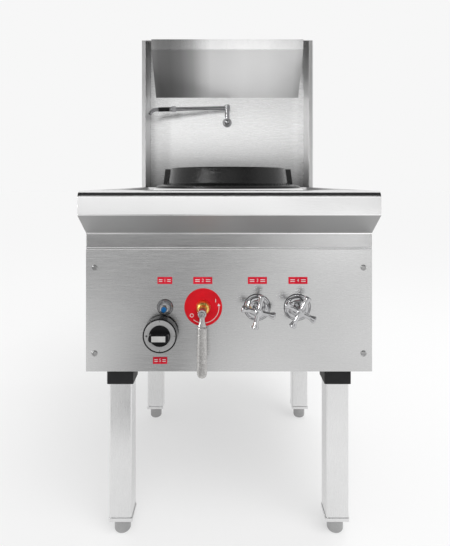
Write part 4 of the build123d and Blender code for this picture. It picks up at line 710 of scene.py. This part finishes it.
def makeKnobMarks(middle):
    # three ticks and a dot on the dial ring
    bm = bmesh.new()
    proud = panelY - knob["face"] - knob["ringProud"]
    lift, sunk = knobMarks["lift"], knobMarks["sunk"]
    outer, halfTick = knob["ringOuter"] - knobMarks["inset"], knobMarks["tickWidth"] / 2
    for quarter in (0, 1, 3):
        tick = addBlock(
            bm, (outer - knobMarks["tickLength"], proud - lift, -halfTick), (outer, proud + sunk, halfTick)
        )
        turn = Matrix.Rotation(-quarter * math.pi / 2, 3, "Y")
        bmesh.ops.rotate(bm, cent=(0, 0, 0), matrix=turn, verts=tick)
        bmesh.ops.translate(bm, vec=Vector((middle.x, 0, middle.z)) * mm, verts=tick)
    radius = knobMarks["dotRadius"] * mm
    dot = bmesh.ops.create_cone(
        bm, cap_ends=True, segments=24, radius1=radius, radius2=radius, depth=(lift + sunk) * mm
    )
    bmesh.ops.rotate(bm, cent=(0, 0, 0), matrix=Matrix.Rotation(math.pi / 2, 3, "X"), verts=dot["verts"])
    dotX = middle.x - (knob["ringOuter"] + knob["ringInner"]) / 2
    dotSpot = Vector((dotX, proud - knobMarks["dotSunk"], middle.z)) * mm
    bmesh.ops.translate(bm, vec=dotSpot, verts=dot["verts"])
    finishPiece("knobTicks", meshFrom(bm, "knobTicks"), "blackMark", "knob_dial_ring")


def makeKnob():
    low, high = mmBox("pilot_knob")
    middle = (low + high) / 2
    centre = onPanel(middle)
    back, face = panelY - high.y, knob["face"]
    skirt = shifted(knob["back"], back) + shifted(knob["front"], face) + shifted(knob["bore"], back)
    mesh = turnedMesh("knobSkirt", skirt, toViewer, centre, steps=96, closed=False)
    finishPiece("knobSkirt", mesh, "blackPlastic", "pilot_knob")
    halfLength, halfBar = knob["barLength"] / 2, knob["barWidth"] / 2
    bar = [
        (middle.x + acrossX * halfLength, middle.z + upZ * halfBar, halfBar * knob["barCorner"])
        for acrossX, upZ in ((-1, -1), (1, -1), (1, 1), (-1, 1))
    ]
    mesh = extrudedMesh("knobBar", bar, "XZ", low.y, panelY - low.y - face - knob["barSunk"])
    finishPiece("knobBar", mesh, "blackPlastic", "pilot_knob", ("pilot_knob",), knob["barEdge"], smooth=30)
    mesh = turnedMesh("knobRing", shifted(knob["ring"], face), toViewer, centre, steps=96)
    finishPiece("knobRing", mesh, "knobRing", "knob_dial_ring", ("knob_dial_ring",))
    makeKnobMarks(middle)
    dressNode("knob_marker", "markerStrip", 0.2)


makeKnob()
print("knob made")

# main gas valve: red dial with its marks and brass bonnet; spots are mm from the dial's middle,
# angles are degrees counterclockwise from +X
dial = {
    "hole": 15.2, "wallShare": 0.6, "edge": 0.5, "lift": 0.18, "sunk": 0.05,
    "arcRadius": 33, "arcWidth": 1.1, "arcFrom": -128, "arcTo": 6, "arcSteps": 40,
    "arrow": 3.2, "tipLead": 8, "baseBack": 1,
    "signSpot": (-24, -17), "signHeight": 7, "signStroke": 1.2, "barSpot": (26, 14), "barHalf": 0.7,
}


def aroundSpot(spot, radius, angle):
    way = math.radians(angle)
    return spot[0] + radius * math.cos(way), spot[1] + radius * math.sin(way)


def flatPlate(bm, points, y):
    bm.faces.new([bm.verts.new(Vector((x, y, z)) * mm) for x, z in points])


def flatArc(bm, spot, y, radius, width, start, end):
    # a thin ring segment facing the viewer
    rows = []
    for i in range(dial["arcSteps"] + 1):
        angle = start + (end - start) * i / dial["arcSteps"]
        row = []
        for offset in (-width / 2, width / 2):
            x, z = aroundSpot(spot, radius + offset, angle)
            row.append(bm.verts.new(Vector((x, y, z)) * mm))
        rows.append(row)
    for (a, b), (c, d) in zip(rows, rows[1:]):
        bm.faces.new((a, b, d, c))


def makeDial():
    low, high = mmBox("dial_plate")
    middle = (low + high) / 2
    radius = (high.x - low.x) / 2
    depth, hole = panelY - low.y, dial["hole"]
    wall, rim = depth * dial["wallShare"], radius - dial["edge"]
    profile = [(0, hole), (0, radius), (wall, radius), (depth, rim), (depth, hole)]
    mesh = turnedMesh("dialDisc", profile, toViewer, onPanel(middle), steps=128)
    finishPiece("dialDisc", mesh, "redEnamel", "dial_plate", ("dial_plate",))
    y = low.y - dial["lift"]
    centre = (middle.x, middle.z)
    arcRadius, half, barHalf = dial["arcRadius"], dial["signHeight"] / 2, dial["barHalf"]
    bm = bmesh.new()
    flatArc(bm, centre, y, arcRadius, dial["arcWidth"], dial["arcFrom"], dial["arcTo"])
    tip = aroundSpot(centre, arcRadius, dial["arcTo"] + dial["tipLead"])
    outer, inner = (
        aroundSpot(centre, arcRadius + offset, dial["arcTo"] - dial["baseBack"])
        for offset in (dial["arrow"], -dial["arrow"])
    )
    flatPlate(bm, [outer, tip, inner], y)
    signSpot, barSpot = (
        (middle.x + dial[spot][0], middle.z + dial[spot][1]) for spot in ("signSpot", "barSpot")
    )
    flatArc(bm, signSpot, y, half, dial["signStroke"], 0, 360)
    barCorners = ((-barHalf, -half), (barHalf, -half), (barHalf, half), (-barHalf, half))
    flatPlate(bm, [(barSpot[0] + x, barSpot[1] + z) for x, z in barCorners], y)
    extrudeFaces(bm, bm.faces[:], (0, (dial["lift"] + dial["sunk"]) * mm, 0))
    finishPiece("dialMarks", meshFrom(bm, "dialMarks"), "whiteMark", "dial_plate")


makeDial()
dressNode("main_valve", "brass", 0.4)

# lever: a hub with its screw, a neck that flares, and a rounded cast grip; stations of neck and grip
# are (mm down from the top, half width, half depth)
lever = {
    "hub": (
        (37, 0), (37, 8.0), (37.6, 8.6), (53.8, 8.6), (54.7, 8.1), (55, 7.2), (55, 5.4), (54.2, 4.9),
        (54.2, 0),
    ),
    "screw": ((54, 0), (54, 4.6), (56.8, 4.6), (57.7, 3.9), (58, 2.7), (57.1, 2.2), (57.1, 0)),
    "neck": (
        (0, 5.4, 3.4), (8, 5.2, 3.6), (15, 5.6, 3.8), (21, 7.4, 4.3), (24.5, 8.4, 4.7), (26, 8.4, 4.7),
    ),
    "grip": (
        (0, 8.6, 4.9), (0.8, 9.5, 5.5), (2.2, 9.8, 5.7), (25, 9.9, 5.75), (60, 10.2, 5.75),
        (86, 10.4, 5.75), (93, 9.8, 5.4), (97, 8.2, 4.7), (99.6, 5.6, 3.4), (100.8, 2.6, 1.7),
        (101, 0.8, 0.6),
    ),
    "hubRadius": 8.6, "neckProud": 51.5, "neckLength": 26, "sides": 40, "squareness": 0.75,
}


def squared(value):
    return math.copysign(abs(value) ** lever["squareness"], value)


def loftedMesh(name, middleX, middleY, top, stations):
    # rounded sections stacked downward, in mm
    sides = lever["sides"]
    angles = [math.tau * i / sides for i in range(sides)]
    bm = bmesh.new()
    rings = []
    for down, halfAcross, halfDeep in stations:
        rings.append([
            bm.verts.new(Vector((
                middleX + halfAcross * squared(math.cos(angle)),
                middleY + halfDeep * squared(math.sin(angle)),
                top - down,
            )) * mm)
            for angle in angles
        ])
    for upper, lower in zip(rings, rings[1:]):
        for i in range(sides):
            j = (i + 1) % sides
            bm.faces.new((upper[i], upper[j], lower[j], lower[i]))
    for ring in (rings[0], rings[-1]):
        bm.faces.new(ring)
    bmesh.ops.recalc_face_normals(bm, faces=bm.faces)
    return meshFrom(bm, name)


def makeLever():
    gripLow, gripHigh = mmBox("lever_grip")
    middle = (gripLow + gripHigh) / 2
    hubZ = mmBox("lever_stem")[1].z - lever["hubRadius"]
    centre = onPanel(Vector((middle.x, 0, hubZ)))
    mesh = turnedMesh("leverHub", lever["hub"], toViewer, centre, closed=False)
    finishPiece("leverHub", mesh, "castAluminium", "lever_stem", ("lever_stem",))
    mesh = turnedMesh("leverScrew", lever["screw"], toViewer, centre, closed=False)
    finishPiece("leverScrew", mesh, "screwPlate", "lever_stem")
    neckTop = gripHigh.z + lever["neckLength"]
    mesh = loftedMesh("leverNeck", middle.x, panelY - lever["neckProud"], neckTop, lever["neck"])
    finishPiece("leverNeck", mesh, "castAluminium", "lever_stem", smooth=60)
    mesh = loftedMesh("leverGrip", middle.x, middle.y, gripHigh.z, lever["grip"])
    finishPiece("leverGrip", mesh, "castAluminium", "lever_grip", ("lever_grip",), smooth=60)


makeLever()

# water taps: stepped roses on thin black rings, and four-arm handles with belled ends
taps = {
    "rose": (
        (0.3, 9.2), (0.3, 27.2), (2.0, 27.2), (3.2, 26.2), (3.2, 24.6), (2.5, 24.0), (4.0, 23.4),
        (6.0, 20.6), (7.0, 17.4), (9.0, 16.8), (10.0, 15.6), (12.8, 13.4), (14.0, 12.0), (14.0, 9.2),
    ),
    "hub": (
        (27, 0), (27, 7.9), (28.6, 9.5), (31, 9.5), (32, 8.5), (38, 8.5), (39, 9.5), (42.4, 9.5),
        (44, 7.9), (44, 6.5), (45.6, 6.5), (46.4, 5.5), (46.4, 0),
    ),
    "arm": (
        (4, 0), (4, 5.4), (10, 5.2), (18, 4.6), (24, 5.2), (28, 6.5), (31, 7.4), (33, 7.2), (34.3, 5.8),
        (34.9, 3.4), (35, 0),
    ),
    "armProud": 39, "turn": {"left": -13, "right": -29},
}


def makeTaps():
    for number, (low, high) in enumerate(solidsOf("tap_flanges"), 1):
        centre = onPanel((low + high) / 2)
        replaced = ("tap_flanges",) if number == 1 else ()
        name = "tapRose%d" % number
        rose = turnedMesh(name, taps["rose"], toViewer, centre)
        finishPiece(name, rose, "chrome", "tap_flanges", replaced)
        makeGasket("tapDarkRing%d" % number, centre, (high.x - low.x) / 2, "tap_flanges")
    for side, turn in taps["turn"].items():
        node = "tap_handle_" + side
        centre = onPanel(middleOf(node))
        crossing = centre + Vector(toViewer) * (taps["armProud"] * mm)
        bm = bmesh.new()
        bm.from_mesh(turnedMesh("tapHub", taps["hub"], toViewer, centre, closed=False))
        for quarter in range(4):
            angle = math.radians(turn + 90 * quarter)
            way = (math.cos(angle), 0, math.sin(angle))
            bm.from_mesh(turnedMesh("tapArm", taps["arm"], way, crossing, steps=32, closed=False))
        name = "tapHandle" + side.capitalize()
        placePiece(name, meshFrom(bm, name), "chrome", node, (node,), smooth=50)


makeTaps()
print("valve, lever and taps made")

# adjustable feet: a plain drum with a small chamfer at the floor, under its threaded stem
feet = {
    "drum": ((0, 0), (0, 13.8), (1.2, 15.2), (3.6, 16.8), (6, 17.5), (28.1, 17.5), (29.7, 15.9), (29.7, 6)),
    "stem": 6,
}


def makeFoot(node):
    low, high = mmBox(node)
    centre = Vector(((low.x + high.x) / 2, (low.y + high.y) / 2, low.z)) * mm
    top = high.z - low.z
    profile = list(feet["drum"]) + [(top, feet["stem"]), (top, 0)]
    mesh = turnedMesh(node + "Drum", profile, (0, 0, 1), centre, closed=False)
    finishPiece(node + "Drum", mesh, "footMetal", node, (node,))


for footName in ("foot_front_left", "foot_front_right", "foot_rear_left", "foot_rear_right"):
    makeFoot(footName)
dressNode("wok_ring", "castIron", 1.5)
dressNode("ring_collar", "collarSteel", 0.5)
dressNode("splash_wings", "wingSteel", 1.2)
dressNode("splash_back", "splashSteel", 0.4)
cowl = dressNode("flue_cowl", ("bandSteel", "cowlSteel"), 0.8)
# the cowl's sloping face looks downward
slopeTilt = -0.3
shadeFaces(cowl.data, 1, lambda normal: normal.z < slopeTilt)
dressNode("faucet_stand", "faucetSteel", 0.5)
dressNode("faucet_arm", "faucetSteel", 0.4)
dressNode("faucet_nut", "faucetSteel", 0.4)
dressNode("faucet_grip", "blackPlastic", 0.4)
dressNode("faucet_spout", "faucetSteel", 0.3)
print("ring, column and faucet made")

# floor, backdrop, light and camera, in metres, watts and degrees
studio = {
    "floorPaint": 0.40, "floorGlow": 0.53, "flagTone": 0.03, "bounceTone": 0.85, "matt": 0.9,
    "skyTone": 0.93, "roomLight": 0.56,
    "screenY": -2.6, "screenHalf": 3.5, "ceilingZ": 3.9, "cardSpan": 2.4,
    "sunAngle": 50, "sunPower": 1.7, "sunTurn": (32, 18, 0),
    "cameraSpot": (-0.009, -1.3755, 0.752), "cameraTurn": (90, 0, 0), "sensor": 36, "lens": 30.99,
    "shift": (0.0005, -0.1654),
}
# level cards: (left, right, front, back, height)
levelCards = {
    "floor": (-40, 40, -40, 40, 0),
    "floorCard": (-1.3, 1.3, -0.8, -2.6, 0.004),
    "flagCard": (-0.8, 0.8, -0.85, -0.33, 1.3),
    "bounceCard": (-0.27, 0.27, -0.02, 0.24, 0.82),
}
# lamps: (place, aim, size, power)
lamps = {
    "overheadBox": ((0.9, 0.3, 2.7), (0.3, 0, 0.75), (1.1, 1.1), 14),
    "gleamStrip": ((-2.15, -2.45, 1.0), (0, -0.1, 0.77), (0.26, 1.2), 36),
}
# soft cards in front of the range, seen only in its metal: rows of (x, tone) stops, or one plain tone;
# the screen's rows stand at heights above the floor, the floor card's at distances before the panel
screenRows = (
    (0.00, ((-0.96, 0.58), (-0.55, 0.42), (-0.24, 0.25), (-0.06, 0.74), (0.70, 0.93))),
    (0.13, ((-0.96, 0.47), (-0.31, 0.38), (-0.12, 0.62), (0.70, 0.86))),
    (0.25, ((-0.96, 0.46), (-0.31, 0.38), (0.1, 0.50), (0.27, 0.65), (0.70, 0.85))),
    (0.31, ((-0.96, 0.27), (0.1, 0.25), (0.35, 1.0), (0.84, 1.9))),
    (0.42, ((-0.96, 0.27), (0.1, 0.25), (0.35, 1.0), (0.84, 1.9))),
    (0.50, ((-1.0, 1.02), (0.3, 1.02), (0.6, 0.87))),
    (1.28, 1.06), (1.60, 1.40), (1.67, 0.06), (1.81, 0.06), (1.89, 1.24), (2.19, 1.24), (2.26, 0.04),
)
cardRows = (
    (1.00, ((-0.58, 1.0), (-0.30, 0.34), (-0.20, 0.32), (-0.06, 0.86), (0.6, 1.0))),
    (2.10, ((-1.0, 0.70), (-0.24, 0.30), (-0.04, 0.70), (0.7, 1.0))),
)
# dark flags on the screen: (left, right, bottom, top, soft edge, tone)
screenPatches = (
    (-1.85, -1.15, 0.20, 2.4, 0.05, 0.08),
    (1.15, 2.10, 0.20, 2.4, 0.05, 0.08),
)


def stageQuad(name, corners, paint, reflectedOnly=True):
    bm = bmesh.new()
    bm.faces.new([bm.verts.new(corner) for corner in corners])
    quad = bpy.data.objects.new(name, meshFrom(bm, name))
    quad.data.materials.append(finish[paint])
    bpy.context.scene.collection.objects.link(quad)
    if reflectedOnly:
        quad.visible_camera = False
        quad.visible_diffuse = False
        quad.visible_shadow = False


def levelCard(name, paint, reflectedOnly=True):
    left, right, front, back, z = levelCards[name]
    corners = [(left, front, z), (right, front, z), (right, back, z), (left, back, z)]
    stageQuad(name, corners, paint, reflectedOnly)


def mattPaint(name, tone):
    nodes, links, shader = startMaterial(name)
    shader.inputs["Base Color"].default_value = (tone, tone, tone, 1)
    shader.inputs["Roughness"].default_value = studio["matt"]
    return nodes, links, shader


def glowPaint(name, tone=1.0):
    nodes, links, shader = startMaterial(name)
    nodes.remove(shader)
    glow = nodes.new("ShaderNodeEmission")
    glow.inputs["Strength"].default_value = tone
    links.new(glow.outputs["Emission"], nodes["Material Output"].inputs["Surface"])
    return nodes, links, glow


def mathNode(nodes, links, operation, first, second, clamp=False):
    node = nodes.new("ShaderNodeMath")
    node.operation = operation
    node.use_clamp = clamp
    for socket, value in zip(node.inputs, (first, second)):
        if isinstance(value, bpy.types.NodeSocket):
            links.new(value, socket)
        else:
            socket.default_value = value
    return node.outputs[0]


def softStep(nodes, links, value, start, end):
    # rises from 0 at start to 1 at end
    ramp = nodes.new("ShaderNodeMapRange")
    ramp.interpolation_type = "SMOOTHSTEP"
    ramp.inputs["From Min"].default_value = start
    ramp.inputs["From Max"].default_value = end
    links.new(value, ramp.inputs["Value"])
    return ramp.outputs["Result"]


def rowTones(nodes, links, side, level, rows):
    # each row is a ramp from left to right; level blends from one row to the next
    span = studio["cardSpan"]
    place = mathNode(nodes, links, "MULTIPLY_ADD", side, 1 / span)
    place.node.inputs[2].default_value = 0.5
    tone, before = None, None
    for height, stops in rows:
        if not isinstance(stops, tuple):
            stops = ((-1.0, stops), (1.0, stops))
        row = rampValue(nodes, links, place, [(x / span + 0.5, value) for x, value in stops])
        if tone is not None:
            row = mixColours(nodes, links, softStep(nodes, links, level, before, height), tone, row)
        tone, before = row, height
    return tone


def addPatch(nodes, links, axes, tone, patch):
    left, right, bottom, top, edge, patchTone = patch
    inside = 1.0
    for axis, start, end in (("X", left, right), ("Z", bottom, top)):
        rise = softStep(nodes, links, axes[axis], start - edge, start + edge)
        fall = softStep(nodes, links, axes[axis], end + edge, end - edge)
        for step in (rise, fall):
            inside = mathNode(nodes, links, "MULTIPLY", step, inside)
    return mixColours(nodes, links, inside, tone, (patchTone, patchTone, patchTone))


def glowingCard(name, rows, upright, patches=()):
    nodes, links, glow = glowPaint(name)
    axes = separateAxes(nodes, links)
    level = axes["Z"] if upright else mathNode(nodes, links, "SUBTRACT", panelY * mm, axes["Y"])
    tone = rowTones(nodes, links, axes["X"], level, rows)
    for patch in patches:
        tone = addPatch(nodes, links, axes, tone, patch)
    links.new(tone, glow.inputs["Color"])


def shownRays(nodes, links):
    path = nodes.new("ShaderNodeLightPath")
    seen = mathNode(nodes, links, "ADD", path.outputs["Is Camera Ray"], path.outputs["Is Glossy Ray"])
    return mathNode(nodes, links, "ADD", seen, path.outputs["Is Transmission Ray"], clamp=True)


def makeFloorPaint():
    # painted floor that keeps the shadow, with its share of glow where the camera and gloss see it
    nodes, links, shader = mattPaint("floorPaint", studio["floorPaint"])
    shader.inputs["Specular IOR Level"].default_value = 0.0
    glow = nodes.new("ShaderNodeEmission")
    shown = mathNode(nodes, links, "MULTIPLY", shownRays(nodes, links), studio["floorGlow"])
    links.new(shown, glow.inputs["Strength"])
    both = nodes.new("ShaderNodeAddShader")
    links.new(shader.outputs["BSDF"], both.inputs[0])
    links.new(glow.outputs["Emission"], both.inputs[1])
    links.new(both.outputs["Shader"], nodes["Material Output"].inputs["Surface"])


def makeWorld():
    world = bpy.data.worlds.new("studio")
    bpy.context.scene.world = world
    world.use_nodes = True
    nodes, links = world.node_tree.nodes, world.node_tree.links
    room = nodes["Background"]
    room.inputs["Color"].default_value = (1, 1, 1, 1)
    room.inputs["Strength"].default_value = studio["roomLight"]
    shown = nodes.new("ShaderNodeBackground")
    sky = studio["skyTone"]
    shown.inputs["Color"].default_value = (sky, sky, sky, 1)
    choice = nodes.new("ShaderNodeMixShader")
    links.new(shownRays(nodes, links), choice.inputs["Fac"])
    links.new(room.outputs["Background"], choice.inputs[1])
    links.new(shown.outputs["Background"], choice.inputs[2])
    links.new(choice.outputs["Shader"], nodes["World Output"].inputs["Surface"])


def makeCards():
    makeFloorPaint()
    levelCard("floor", "floorPaint", reflectedOnly=False)
    half, screenY, ceilingZ = studio["screenHalf"], studio["screenY"], studio["ceilingZ"]
    corners = [(side * half, screenY, z) for side, z in ((-1, 0), (1, 0), (1, ceilingZ), (-1, ceilingZ))]
    glowingCard("screenGlow", screenRows, True, screenPatches)
    stageQuad("frontScreen", corners, "screenGlow")
    glowingCard("cardGlow", cardRows, False)
    levelCard("floorCard", "cardGlow")
    mattPaint("flagPaint", studio["flagTone"])
    levelCard("flagCard", "flagPaint")
    glowPaint("bouncePaint", studio["bounceTone"])
    levelCard("bounceCard", "bouncePaint")


def placeInRoom(name, data, spot, turn):
    thing = bpy.data.objects.new(name, data)
    thing.location = spot
    thing.rotation_euler = turn
    bpy.context.scene.collection.objects.link(thing)
    return thing


def areaLamp(name):
    spot, aim, size, power = lamps[name]
    light = bpy.data.lights.new(name, "AREA")
    light.shape = "RECTANGLE"
    light.size, light.size_y = size
    light.energy = power
    turn = (Vector(aim) - Vector(spot)).to_track_quat("-Z", "Y").to_euler()
    return placeInRoom(name, light, spot, turn)


def makeLamps():
    sun = bpy.data.lights.new("softSun", "SUN")
    sun.angle = math.radians(studio["sunAngle"])
    sun.energy = studio["sunPower"]
    turn = [math.radians(angle) for angle in studio["sunTurn"]]
    placeInRoom("softSun", sun, (0, 0, 0), turn).visible_glossy = False
    areaLamp("overheadBox").visible_glossy = False
    areaLamp("gleamStrip").visible_diffuse = False


def makeCamera():
    camera = bpy.data.cameras.new("photoView")
    camera.sensor_fit = "VERTICAL"
    camera.sensor_height = studio["sensor"]
    camera.lens = studio["lens"]
    camera.shift_x, camera.shift_y = studio["shift"]
    turn = [math.radians(angle) for angle in studio["cameraTurn"]]
    bpy.context.scene.camera = placeInRoom("photoView", camera, studio["cameraSpot"], turn)
    bpy.context.scene.view_settings.view_transform = "Standard"


makeWorld()
makeCards()
makeLamps()
makeCamera()
print("stage, light and camera set")
